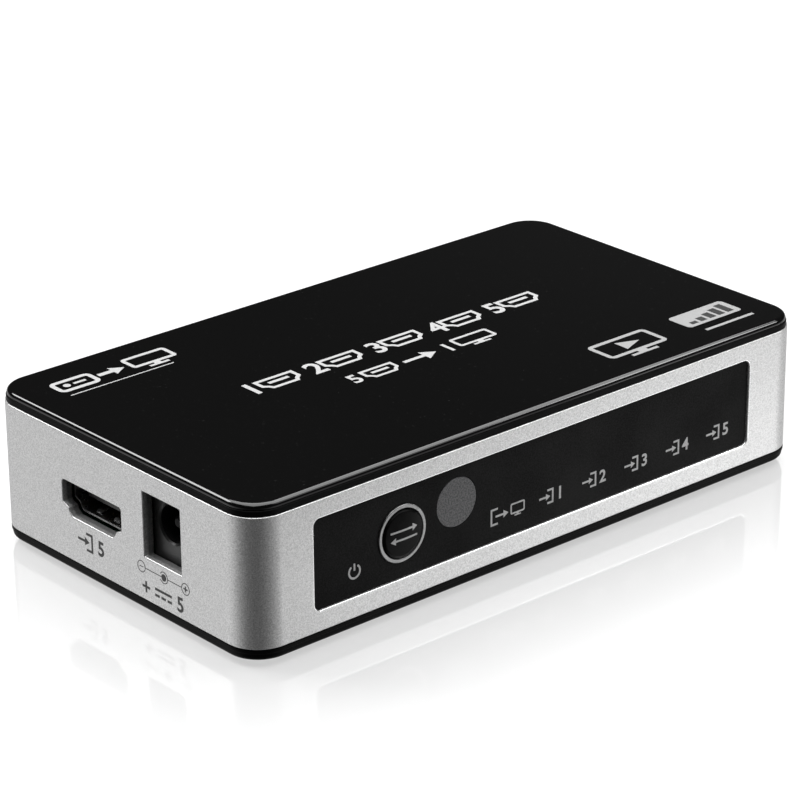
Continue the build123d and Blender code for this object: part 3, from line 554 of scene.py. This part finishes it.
def fingerTree(steps):
    tree = bpy.data.node_groups.new("springFingers", "GeometryNodeTree")
    sizes = {}
    for name, kind in (
        ("Count", "NodeSocketInt"), ("Pitch", "NodeSocketFloat"), ("Length", "NodeSocketFloat"),
        ("Width", "NodeSocketFloat"), ("Thickness", "NodeSocketFloat"),
        ("Rise", "NodeSocketFloat"), ("Finish", "NodeSocketMaterial"),
    ):
        sizes[name] = tree.interface.new_socket(name, in_out="INPUT", socket_type=kind)
    tree.interface.new_socket("Fingers", in_out="OUTPUT", socket_type="NodeSocketGeometry")
    given = tree.nodes.new("NodeGroupInput").outputs

    def node(kind, settings=None, sockets=None):
        made = tree.nodes.new(kind)
        for setting, value in (settings or {}).items():
            setattr(made, setting, value)
        for socket, value in (sockets or {}).items():
            if isinstance(value, bpy.types.NodeSocket):
                tree.links.new(value, made.inputs[socket])
            else:
                made.inputs[socket].default_value = value
        return made.outputs[0]

    def times(value, factor):
        return node("ShaderNodeMath", {"operation": "MULTIPLY"}, {0: value, 1: factor})

    # a strip that leaves the wall, bows into the mouth and comes back to the wall: the curve's
    # control point stands at half its length and at twice its rise
    crest = node("ShaderNodeCombineXYZ", sockets={
        "Y": times(given["Length"], 0.5), "Z": times(given["Rise"], 2.0)})
    tip = node("ShaderNodeCombineXYZ", sockets={"Y": given["Length"]})
    bow = node("GeometryNodeCurveQuadraticBezier", sockets={
        "Resolution": steps, "Start": (0, 0, 0), "Middle": crest, "End": tip})
    section = node("GeometryNodeCurvePrimitiveQuadrilateral", {"mode": "RECTANGLE"}, {
        "Width": given["Width"], "Height": given["Thickness"]})
    strip = node("GeometryNodeCurveToMesh", sockets={
        "Curve": bow, "Profile Curve": section, "Fill Caps": True})
    # one strip at each place of the row
    gaps = node("ShaderNodeMath", {"operation": "SUBTRACT"}, {0: given["Count"], 1: 1.0})
    first = node("ShaderNodeCombineXYZ", sockets={
        "X": times(times(gaps, given["Pitch"]), -0.5)})
    step = node("ShaderNodeCombineXYZ", sockets={"X": given["Pitch"]})
    row = node("GeometryNodeMeshLine", sockets={
        "Count": given["Count"], "Start Location": first, "Offset": step})
    strips = node("GeometryNodeInstanceOnPoints", sockets={"Points": row, "Instance": strip})
    whole = node("GeometryNodeRealizeInstances", sockets={"Geometry": strips})
    painted = node("GeometryNodeSetMaterial", sockets={
        "Geometry": whole, "Material": given["Finish"]})
    result = tree.nodes.new("NodeGroupOutput")
    tree.links.new(painted, result.inputs["Fingers"])
    return tree, {name: socket.identifier for name, socket in sizes.items()}


def growMesh(tree, values):
    # runs a tree on an empty object and returns its result as a plain mesh
    seed = bpy.data.objects.new("seed", bpy.data.meshes.new("seed"))
    bpy.context.scene.collection.objects.link(seed)
    modifier = seed.modifiers.new("grow", "NODES")
    modifier.node_group = tree
    for identifier, value in values.items():
        modifier[identifier] = value
    bpy.context.view_layer.update()
    grown = bpy.data.meshes.new_from_object(
        seed.evaluated_get(bpy.context.evaluated_depsgraph_get())
    )
    seed.modifiers.remove(modifier)
    bpy.data.objects.remove(seed)
    return grown


def addFingers(look):
    tree, identifiers = fingerTree(look["steps"])
    values = {
        identifiers[name.capitalize()]: look[name]
        for name in ("count", "pitch", "length", "width", "thickness", "rise")
    }
    values[identifiers["Finish"]] = finishes["socketShell"]
    for socket in videoSockets:
        low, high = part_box(socket + "_shell")
        top = high.z - look["shellWall"] - look["sink"]
        bottom = high.z - look["shellWall"] - look["mouthHeight"] + look["sink"]
        if socket == "input_5":
            mouth = Vector((low.x, (low.y + high.y) / 2, 0))
            across, inward = Vector((0, 1, 0)), Vector((1, 0, 0))
        else:
            mouth = Vector(((low.x + high.x) / 2, high.y, 0))
            across, inward = Vector((1, 0, 0)), Vector((0, -1, 0))
        work = bmesh.new()
        for height, up in ((top, -1), (bottom, 1)):
            start = mouth + inward * look["setback"] + Vector((0, 0, height))
            place = Matrix((
                (across.x, inward.x, 0, start.x),
                (across.y, inward.y, 0, start.y),
                (across.z, inward.z, up, start.z),
                (0, 0, 0, 1),
            ))
            row = growMesh(tree, values)
            row.transform(place)
            work.from_mesh(row)
        bmesh.ops.remove_doubles(work, verts=work.verts, dist=look["merge"])
        bmesh.ops.recalc_face_normals(work, faces=work.faces)
        mesh = bpy.data.meshes.new(socket + "_fingers")
        work.to_mesh(mesh)
        work.free()
        mesh.shade_smooth()
        mesh.set_sharp_from_angle(angle=look["sharp"])
        addPiece(socket + "_fingers", mesh, "socketShell", "case")


addFingers(fingerLook)
print("spring fingers made")


# Printed signs: flat shapes in millimetres, each a list of outlines, laid on a face
def bar(left, low, right, high):
    return [[(left, low), (right, low), (right, high), (left, high)]]


def disc(x, y, radius, sides=28):
    turns = [2 * math.pi * n / sides for n in range(sides)]
    return [[(x + radius * math.cos(t), y + radius * math.sin(t)) for t in turns]]


def line(points, width, closed=False):
    # a stroke of even width with mitred corners, as one quad for each run
    count = len(points)
    runs = count if closed else count - 1
    headings = []
    for n in range(runs):
        (x0, y0), (x1, y1) = points[n], points[(n + 1) % count]
        length = math.hypot(x1 - x0, y1 - y0)
        headings.append(((x1 - x0) / length, (y1 - y0) / length))
    rails = []
    for n in range(count):
        before = headings[n - 1] if closed or n > 0 else headings[0]
        after = headings[n] if n < runs else headings[-1]
        across = (-before[1] - after[1], before[0] + after[0])
        squared = across[0] ** 2 + across[1] ** 2
        shift = (across[0] * width / squared, across[1] * width / squared)
        x, y = points[n]
        rails.append(((x + shift[0], y + shift[1]), (x - shift[0], y - shift[1])))
    quads = []
    for n in range(runs):
        (a, b), (c, d) = rails[n], rails[(n + 1) % count]
        quads.append([b, d, c, a])
    return quads


def arc(x, y, radius, start, end, steps=24):
    turns = [math.radians(start + (end - start) * n / steps) for n in range(steps + 1)]
    return [(x + radius * math.cos(t), y + radius * math.sin(t)) for t in turns]


def ring(x, y, radius, width, sides=28):
    turns = sides - 1
    return line(arc(x, y, radius, 0, 360 * turns / sides, turns), width, closed=True)


def roundedBox(x, y, across, high, corner, steps=6):
    dx, dy = across / 2 - corner, high / 2 - corner
    points = []
    for turn, (right, up) in zip((0, 90, 180, 270), ((1, 1), (-1, 1), (-1, -1), (1, -1))):
        points += arc(x + right * dx, y + up * dy, corner, turn, turn + 90, steps)
    return points


arrowLook = {"step": 0.4, "flare": 0.62}


def arrow(x0, x1, y, width, head):
    # a straight arrow from x0 to x1, in short steps so that it follows the button's crown
    way = 1 if x1 > x0 else -1
    neck = x1 - way * head
    steps = max(1, round(abs(neck - x0) / arrowLook["step"]))
    shaft = [(x0 + (neck - x0) * n / steps, y) for n in range(steps + 1)]
    flare = arrowLook["flare"] * head
    tip = [(neck, y - flare), (x1, y), (neck, y + flare)]
    return line(shaft, width) + [tip[::way]]


def plusSign(x, y, reach, width):
    # a cross of three bars that only touch
    half = width / 2
    return (
        bar(x - reach, y - half, x + reach, y + half)
        + bar(x - half, y + half, x + half, y + reach)
        + bar(x - half, y - reach, x + half, y - half)
    )


# for a size of 1: the right half of the mouth, and the tongue's reach, low and high
portShape = {
    "half": [(0.5, 0.22), (0.5, -0.06), (0.39, -0.14), (0.33, -0.24)],
    "tongue": (0.28, -0.03, 0.07),
}


def portSign(x, y, size, width):
    # the stepped outline of a socket's mouth, with its tongue
    half = portShape["half"]
    points = [(x + size * a, y + size * b) for a, b in half]
    points += [(x - size * a, y + size * b) for a, b in half[::-1]]
    reach, low, high = (size * share for share in portShape["tongue"])
    return line(points[::-1], width, closed=True) + bar(x - reach, y + low, x + reach, y + high)


# for a size of 1: the bracket's corners, the arrow's head, and where it starts and ends
bracketShape = {
    "corners": ((0.02, 0.36), (0.4, 0.36), (0.4, -0.36), (0.02, -0.36)), "head": 0.3,
    "inward": (-0.55, 0.22), "outward": (-0.15, 0.62),
}


def bracketSign(x, y, size, width, way, shaft):
    # an arrow through the open side of a bracket, which stands on the right when way is 1
    edge = [(x + way * a * size, y + b * size) for a, b in bracketShape["corners"]]
    start, end = (x + share * size for share in shaft)
    return line(edge, width) + arrow(start, end, y, width, bracketShape["head"] * size)


def inSign(x, y, size, width):
    return bracketSign(x, y, size, width, 1, bracketShape["inward"])


def outSign(x, y, size, width):
    return bracketSign(x, y, size, width, -1, bracketShape["outward"])


# degrees that stay open each side of the top, and the stroke's ends by the radius
powerShape = {"opening": 35, "stroke": (0.15, 1.25)}


def powerSign(x, y, radius, width):
    # an open ring with a stroke in its opening
    opening = powerShape["opening"]
    low, high = (y + share * radius for share in powerShape["stroke"])
    return line(arc(x, y, radius, 90 + opening, 450 - opening), width) + bar(
        x - width / 2, low, x + width / 2, high)


# the corner by the screen's height, half widths by its width, and depths by the stroke
screenShape = {"corner": 0.12, "stem": 0.08, "stemDepth": 0.7, "foot": 0.24, "footDepth": 1.5}


def screenSign(x, y, across, high, width):
    # a screen on a foot
    edge = roundedBox(x, y, across, high, screenShape["corner"] * high)
    stem, foot = screenShape["stem"] * across, screenShape["foot"] * across
    top = y - high / 2 - width / 2
    middle, low = top - screenShape["stemDepth"] * width, top - screenShape["footDepth"] * width
    return (
        line(edge, width, closed=True)
        + bar(x - stem, middle, x + stem, top)
        + bar(x - foot, low, x + foot, middle)
    )


figureLook = {"weight": 0.022, "steps": 4}


def numeral(text, x, y, high):
    # a figure in the built-in font, centred on its place
    curve = bpy.data.curves.new("figure", "FONT")
    curve.body = text
    curve.offset = figureLook["weight"]
    curve.resolution_u = figureLook["steps"]
    figure = bpy.data.objects.new("figure", curve)
    bpy.context.scene.collection.objects.link(figure)
    bpy.context.view_layer.update()
    mesh = bpy.data.meshes.new_from_object(figure)
    bpy.data.objects.remove(figure)
    xs = [v.co.x for v in mesh.vertices]
    ys = [v.co.y for v in mesh.vertices]
    scale = high / (max(ys) - min(ys))
    middle = ((max(xs) + min(xs)) / 2, (max(ys) + min(ys)) / 2)
    return [
        [(x + (mesh.vertices[i].co.x - middle[0]) * scale,
          y + (mesh.vertices[i].co.y - middle[1]) * scale) for i in face.vertices]
        for face in mesh.polygons
    ]


printLook = {"sink": -0.004 * mm, "lift": 0.02 * mm, "secondLift": 0.026 * mm,
             "merge": 0.0005 * mm, "cell": 0.0002 * mm}


def printSigns(name, shapes, onto, finishName, body="case", lift=printLook["lift"]):
    # onto(x, y, height) gives the point on the face, for millimetres and a height in metres
    work = bmesh.new()
    for outline in shapes:
        low = [work.verts.new(onto(x, y, printLook["sink"])) for x, y in outline]
        high = [work.verts.new(onto(x, y, lift)) for x, y in outline]
        work.faces.new(low[::-1])
        work.faces.new(high)
        for n in range(len(low)):
            after = (n + 1) % len(low)
            work.faces.new((low[n], low[after], high[after], high[n]))
    # walls between two runs of one stroke would be hidden, so they go
    bmesh.ops.remove_doubles(work, verts=work.verts, dist=printLook["merge"])
    centres = {}
    for face in work.faces:
        spot = tuple(round(c / printLook["cell"]) for c in face.calc_center_median())
        centres.setdefault(spot, []).append(face)
    double = [face for faces in centres.values() if len(faces) > 1 for face in faces]
    bmesh.ops.delete(work, geom=double, context="FACES_ONLY")
    bmesh.ops.recalc_face_normals(work, faces=work.faces)
    mesh = bpy.data.meshes.new(name)
    work.to_mesh(mesh)
    work.free()
    addPiece(name, mesh, finishName, body)


def onFace(origin, across, up, out):
    def place(x, y, height):
        return origin + across * (x * mm) + up * (y * mm) + out * height
    return place


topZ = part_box("top_plate")[1].z
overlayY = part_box("front_overlay")[0].y
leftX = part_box("side_band")[0].x
ringLow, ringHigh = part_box("button_ring")
rightward, rearward, upward = Vector((1, 0, 0)), Vector((0, 1, 0)), Vector((0, 0, 1))
onTop = onFace(Vector((0, 0, topZ)), rightward, rearward, upward)
onPanel = onFace(Vector((0, overlayY, 0)), rightward, upward, -rearward)
onLeftEnd = onFace(Vector((leftX, 0, 0)), -rearward, upward, -rightward)

capMiddle = (ringLow + ringHigh) / 2
capStart = ringLow.y - 5 * mm  # clear of the button's crown
capMesh = nodes["button_cap"].data
capFaces = BVHTree.FromPolygons(
    [v.co for v in capMesh.vertices], [face.vertices for face in capMesh.polygons])


def onCap(x, y, height):
    # on the crown, where a line along the button's travel meets it
    start = Vector((capMiddle.x + x * mm, capStart, capMiddle.z + y * mm))
    spot = capFaces.ray_cast(start, rearward)[0]
    return spot - rearward * height


# Places in millimetres from the plate's middle. An arrow is its start and end, a bar its left,
# low, right and high, and a screen or a box its middle, width and height, with its y left out
# where the row's own y places it
topSigns = {
    "inputs": {"count": 5, "firstX": -26.0, "pitch": 13.1, "y": 3.2, "figure": 4.5,
               "figureX": -3.7, "port": 1.9, "portWidth": 7.4, "stroke": 0.7},
    "route": {"y": -4.6, "figure": 3.3, "stroke": 0.6, "five": -14.8, "port": -9.4,
              "portWidth": 6.4, "arrow": (-4.4, 2.6), "shaft": 0.8, "head": 2.6, "one": 5.2,
              "screen": (11.2, 7.6, 2.9), "screenRise": 0.5},
    "rear": {"y": 24.3, "box": (-49.0, 7.2, 3.6), "corner": 0.8, "boxStroke": 0.85,
             "dot": (-50.6, 0.65), "slot": (-49.3, 24.0, -46.9, 24.6),
             "arrow": (-44.4, -39.2), "shaft": 1.0, "head": 2.4,
             "screen": (-33.8, 8.2, 3.6), "screenRise": 0.6, "screenStroke": 0.75,
             "underline": (-52.6, 20.4, -32.0, 20.65)},
    "front": {"screen": (28.0, -23.3, 12.2, 5.6), "stroke": 0.85,
              "triangle": [(26.5, -24.9), (30.7, -23.3), (26.5, -21.7)],
              "plate": (46.9, -22.6, 12.6, 5.4), "corner": 0.8,
              "underline": (42.0, -28.0, 53.2, -27.3)},
    "bars": {"count": 5, "left": 42.1, "right": 43.6, "pitch": 2.1, "low": -24.5,
             "high": -23.5, "rise": 0.65},
}


def printInputs(look):
    # the five inputs in a row
    shapes = []
    for n in range(look["count"]):
        x = look["firstX"] + look["pitch"] * n
        shapes += numeral(str(n + 1), x + look["figureX"], look["y"], look["figure"])
        shapes += portSign(x + look["port"], look["y"], look["portWidth"], look["stroke"])
    return shapes


def printRoute(look):
    # the way from five inputs to one screen
    y, stroke = look["y"], look["stroke"]
    shapes = numeral("5", look["five"], y, look["figure"])
    shapes += portSign(look["port"], y, look["portWidth"], stroke)
    shapes += arrow(*look["arrow"], y, look["shaft"], look["head"])
    shapes += numeral("1", look["one"], y, look["figure"])
    x, across, high = look["screen"]
    return shapes + screenSign(x, y + look["screenRise"], across, high, stroke)


def printRear(look):
    # a box that feeds a screen, over a hairline
    y = look["y"]
    x, across, high = look["box"]
    edge = roundedBox(x, y, across, high, look["corner"])
    shapes = line(edge, look["boxStroke"], closed=True)
    x, radius = look["dot"]
    shapes += disc(x, y, radius) + bar(*look["slot"])
    shapes += arrow(*look["arrow"], y, look["shaft"], look["head"])
    x, across, high = look["screen"]
    shapes += screenSign(x, y + look["screenRise"], across, high, look["screenStroke"])
    return shapes + bar(*look["underline"])


def printFront(look):
    # a screen with a triangle, and a plate over a line
    shapes = screenSign(*look["screen"], look["stroke"])
    shapes += [look["triangle"]]
    shapes += [roundedBox(*look["plate"], look["corner"])]
    return shapes + bar(*look["underline"])


def printBars(look):
    # rising bars on the plate
    shapes = []
    for n in range(look["count"]):
        shift = look["pitch"] * n
        shapes += bar(look["left"] + shift, look["low"],
                      look["right"] + shift, look["high"] + look["rise"] * n)
    return shapes


def printTop(look):
    shapes = printInputs(look["inputs"]) + printRoute(look["route"])
    printSigns("top_signs", shapes, onTop, "printWhite")
    printSigns("rear_signs", printRear(look["rear"]), onTop, "printWhite")
    printSigns("front_signs", printFront(look["front"]), onTop, "printSilver")
    printSigns("front_signs_bars", printBars(look["bars"]), onTop, "printBlack",
               lift=printLook["secondLift"])


panelSigns = {
    "row": 10.6, "size": 3.1, "stroke": 0.34, "power": -39.2, "powerDrop": 0.1,
    "powerRadius": 1.1, "output": -7.9, "outputX": -1.6, "outputScale": 1.15, "screenX": 2.6,
    "screenRise": 0.25, "screen": (2.8, 1.6), "screenThin": 0.8, "inputs": 5, "firstX": 2.2,
    "pitch": 9.5, "inputX": -1.1, "figureX": 1.75, "figure": 2.2,
}


def printPanel(look):
    # power, the output and its screen, and the inputs
    y, size, stroke = look["row"], look["size"], look["stroke"]
    shapes = powerSign(look["power"], y - look["powerDrop"], look["powerRadius"], stroke)
    x, across, high = look["output"], *look["screen"]
    shapes += outSign(x + look["outputX"], y, look["outputScale"] * size, stroke)
    shapes += screenSign(x + look["screenX"], y + look["screenRise"], across, high,
                         look["screenThin"] * stroke)
    for n in range(look["inputs"]):
        x = look["firstX"] + look["pitch"] * n
        shapes += inSign(x + look["inputX"], y, size, stroke)
        shapes += numeral(str(n + 1), x + look["figureX"], y, look["figure"])
    printSigns("panel_signs", shapes, onPanel, "printGrey")


endSigns = {
    "input": (-8.45, 7.6), "inputSize": 3.9, "inputFigure": -4.55, "figure": 2.6, "stroke": 0.42,
    "polarityY": 8.45, "minus": 5.92, "middle": 11.55, "plus": 16.94, "circle": 0.95,
    "hair": 0.13, "minusReach": 0.45, "plusReach": 0.5, "plusStroke": 0.24, "dot": 0.6,
    "powerRow": 5.3, "cross": 6.95, "crossReach": 0.95, "line": (9.2, 13.4), "lineRise": 0.3,
    "dashes": 3, "dash": (9.2, 10.3), "dashPitch": 1.55, "dashDrop": 0.75, "voltage": 15.5,
}


def polaritySign(look):
    # minus and plus circles, joined to the broken ring and the dot between them
    y, radius, hair = look["polarityY"], look["circle"], look["hair"]
    minus, middle, plus, dot = look["minus"], look["middle"], look["plus"], look["dot"]
    low, high, rim = y - hair / 2, y + hair / 2, radius + hair / 2
    return (
        ring(minus, y, radius, hair)
        + bar(minus - look["minusReach"], low, minus + look["minusReach"], high)
        + ring(plus, y, radius, hair)
        + plusSign(plus, y, look["plusReach"], look["plusStroke"])
        + line(arc(middle, y, radius, -150, 150), hair)
        + disc(middle, y, dot)
        + bar(minus + rim, low, middle - dot, high)
        + bar(middle + rim, low, plus - rim, high)
    )


def currentSign(look):
    # direct current: a plus, and a line over dashes
    y, stroke = look["powerRow"], look["stroke"]
    low = y + look["lineRise"]
    shapes = plusSign(look["cross"], y, look["crossReach"], stroke)
    left, right = look["line"]
    shapes += bar(left, low, right, low + stroke)
    left, right = look["dash"]
    low = y - look["dashDrop"]
    for n in range(look["dashes"]):
        shift = look["dashPitch"] * n
        shapes += bar(left + shift, low, right + shift, low + stroke)
    return shapes


def printLeftEnd(look):
    x, y = look["input"]
    shapes = inSign(x, y, look["inputSize"], look["stroke"])
    shapes += numeral("5", look["inputFigure"], y, look["figure"])
    shapes += polaritySign(look) + currentSign(look)
    shapes += numeral("5", look["voltage"], look["powerRow"], look["figure"])
    printSigns("left_end_signs", shapes, onLeftEnd, "printBlack")


capSign = {"reach": 2.7, "rise": 0.75, "stroke": 0.32, "head": 1.0}


def printCap(look):
    # two opposed arrows: the button goes on to the next input
    reach, rise = look["reach"], look["rise"]
    shapes = arrow(-reach, reach, rise, look["stroke"], look["head"])
    shapes += arrow(reach, -reach, -rise, look["stroke"], look["head"])
    printSigns("button_sign", shapes, onCap, "printGrey", body="button")


printTop(topSigns)
printPanel(panelSigns)
printLeftEnd(endSigns)
printCap(capSign)
print("signs printed")

# Studio: a camera where the photograph was taken from, soft lamps, a pale floor and a room
cameraPlace = {
    "azimuth": -41.029,  # degrees from the front, towards the left end
    "elevation": 22.914,
    "roll": -0.494,
    "distance": 566.758 * mm,
    "right": -1.0888 * mm,
    "up": 15.1463 * mm,
    "raise": 1.0 * mm,
    "lens": 153.009,
    "sensor": 36.0,
    "nearest": 0.01,
    "farthest": 20,
}


def addCamera(look):
    azimuth, elevation, roll = (
        math.radians(look[angle]) for angle in ("azimuth", "elevation", "roll")
    )
    back = Vector((
        math.sin(azimuth) * math.cos(elevation),
        -math.cos(azimuth) * math.cos(elevation),
        math.sin(elevation),
    ))
    level = Vector((math.cos(azimuth), math.sin(azimuth), 0))
    upright = back.cross(level)
    right = level * math.cos(roll) + upright * math.sin(roll)
    up = upright * math.cos(roll) - level * math.sin(roll)
    centre = right * look["right"] + up * look["up"] + back * look["distance"]
    centre.z += look["raise"]
    lens = bpy.data.cameras.new("photoCamera")
    lens.lens = look["lens"]
    lens.sensor_width = look["sensor"]
    lens.clip_start = look["nearest"]
    lens.clip_end = look["farthest"]
    camera = bpy.data.objects.new("photoCamera", lens)
    bpy.context.scene.collection.objects.link(camera)
    camera.matrix_world = Matrix((
        (right.x, up.x, back.x, centre.x),
        (right.y, up.y, back.y, centre.y),
        (right.z, up.z, back.z, centre.z),
        (0, 0, 0, 1),
    ))
    bpy.context.scene.camera = camera


lamps = {
    "overhead": {"place": (0.15, 0.15, 0.75), "aim": (0.15, 0.15, 0), "size": (1.2, 1.1),
                 "power": 17.0},
    "leftRim": {"place": (-0.32, 0.66, 0.6), "aim": (0, 0, 0), "size": (0.42, 0.24),
                "power": 3.4},
    # mirrored by the right end of the top plate's front edge
    "edgeLight": {"place": (0.206, -0.158, 0.181), "aim": (0.055, -0.033, 0.026),
                  "size": (0.08, 0.06), "power": 0.13},
    # two under the floor, which lets their light by, so the top plate can't mirror them:
    # they brighten the front's right end and its lower strip
    "lowRight": {"place": (0.175, -0.145, -0.05), "aim": (0.05, -0.03, 0.012),
                 "size": (0.09, 0.08), "power": 0.023},
    "lowFront": {"place": (0.055, -0.085, -0.03), "aim": (0.055, -0.033, 0.003),
                 "size": (0.14, 0.03), "power": 0.012},
    # seen by the floor alone, as the pale room that it mirrors
    "floorCard": {"place": (0.96, 1.1, 0.62), "aim": (0, 0, 0), "size": (1.8, 1.1),
                  "power": 7.5, "floorOnly": True},
}


def addLamp(name, look):
    light = bpy.data.lights.new(name, "AREA")
    light.shape = "RECTANGLE"
    light.size, light.size_y = look["size"]
    light.energy = look["power"]
    lamp = bpy.data.objects.new(name, light)
    bpy.context.scene.collection.objects.link(lamp)
    place = Vector(look["place"])
    facing = (Vector(look["aim"]) - place).to_track_quat("-Z", "Y")
    lamp.matrix_world = Matrix.Translation(place) @ facing.to_matrix().to_4x4()
    if look.get("floorOnly"):
        lamp.light_linking.receiver_collection = bpy.data.collections["floorOnly"]


floorLook = {
    "size": 6.0, "light": grey(0.2), "dark": grey(0.19), "mottle": 0.02, "roughness": 0.6,
    "patchy": 0.04, "glow": 0.78, "farGlow": grey(1.0), "nearShadedGlow": grey(0.88),
    "mirrorFrom": 3 * mm, "mirrorTo": 46 * mm, "mirrorRoughness": 0.06, "mirrorIndex": 2.0,
}


def addFloor(look):
    half = look["size"] / 2
    mesh = bpy.data.meshes.new("studioFloor")
    corners = [(-half, -half, 0), (half, -half, 0), (half, half, 0), (-half, half, 0)]
    mesh.from_pydata(corners, [], [(0, 1, 2, 3)])
    floor = bpy.data.objects.new("studioFloor", mesh)
    bpy.context.scene.collection.objects.link(floor)
    finish = Finish("floorPaint")
    mottle = finish.grain(look["mottle"])
    # polished close to the part, so that it mirrors its sides faintly, and glowing less there as
    # a painted shadow round the part
    away = 0 - finish.depthInside(*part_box("side_band"), caseCorner)
    nearPolishAndShade = 1 - finish.between(away, look["mirrorFrom"], look["mirrorTo"])
    mesh.materials.append(finish.surface(
        Base_Color=finish.mixColour(mottle, look["dark"], look["light"]),
        Roughness=finish.uneven(look["roughness"], mottle, look["patchy"]),
        Specular_IOR_Level=0.0,
        Coat_Weight=nearPolishAndShade,
        Coat_Roughness=look["mirrorRoughness"],
        Coat_IOR=look["mirrorIndex"],
        # painted shadow: the glow is dimmer close to the part
        Emission_Color=finish.mixColour(nearPolishAndShade, look["farGlow"], look["nearShadedGlow"]),
        Emission_Strength=look["glow"],
    ))
    # it neither lights the part nor is mirrored by it, and lets the low lamps' light by
    floor.visible_diffuse = floor.visible_glossy = floor.visible_shadow = False
    linked = bpy.data.collections.new("floorOnly")
    linked.objects.link(floor)


# The room's light below and above the horizon, and places in it: azimuth from +X, elevation,
# near and far spread in degrees, and gain
roomLook = {
    "below": 0.7,
    "above": 0.012,
    "horizon": (-0.1, 0.06),  # heights of the direction between which one turns to the other
    "dark": (
        (-134.0, -23.0, 12.0, 70.0, 0.92),  # mirrored by the near corner
        (52.0, -46.0, 8.0, 26.0, 0.92),  # mirrored by the lower edges
        (-49.0, -23.0, 5.0, 42.0, 0.22),  # mirrored by the front
    ),
    "bright": (
        (-27.0, -62.0, 8.0, 24.0, 0.6),  # mirrored by the upper lip of the panel's recess
        (131.0, -23.0, 5.0, 45.0, 0.18),  # mirrored by the left end
        (130.0, -50.0, 5.0, 30.0, 0.4),  # lower down on the same side
    ),
    "high": (
        (40.0, 8.0, 2.0, 18.0, 0.04),  # behind the part, low over the horizon
        (-40.0, 44.0, 6.0, 20.0, 1.6),  # fills the stripe on the top plate's front edge
    ),
}


def addRoom(look):
    # pale below the horizon but for a few dark places, dim above it
    world = bpy.data.worlds.new("studioRoom")
    world.use_nodes = True
    bpy.context.scene.world = world
    room = Shading(world.node_tree)
    direction = room.node("ShaderNodeTexCoord", output="Generated")

    def towards(azimuth, elevation, near, far, gain):
        # the gain within near degrees of a direction, 0 beyond far
        azimuth, elevation = math.radians(azimuth), math.radians(elevation)
        aim = (
            math.cos(azimuth) * math.cos(elevation),
            math.sin(azimuth) * math.cos(elevation),
            math.sin(elevation),
        )
        cosine = room.node(
            "ShaderNodeVectorMath", {"operation": "DOT_PRODUCT"}, {0: direction, 1: aim},
            output="Value",
        )
        spread = room.between(cosine, math.cos(math.radians(far)), math.cos(math.radians(near)))
        return spread * gain

    height = room.node("ShaderNodeSeparateXYZ", sockets={"Vector": direction}, output="Z")
    above = room.between(height, *look["horizon"])
    below = sum((towards(*spot) for spot in look["bright"]), look["below"])
    for spot in look["dark"]:
        below = below * (1 - towards(*spot))
    upper = sum((towards(*spot) for spot in look["high"]), look["above"])
    background = world.node_tree.nodes["Background"]
    room.feed(background.inputs["Strength"], below * (1 - above) + upper * above)
    background.inputs["Color"].default_value = grey(1.0)


addCamera(cameraPlace)
addFloor(floorLook)
for lampName, lampLook in lamps.items():
    addLamp(lampName, lampLook)
addRoom(roomLook)
bpy.context.scene.view_settings.view_transform = "Standard"
print("studio set")
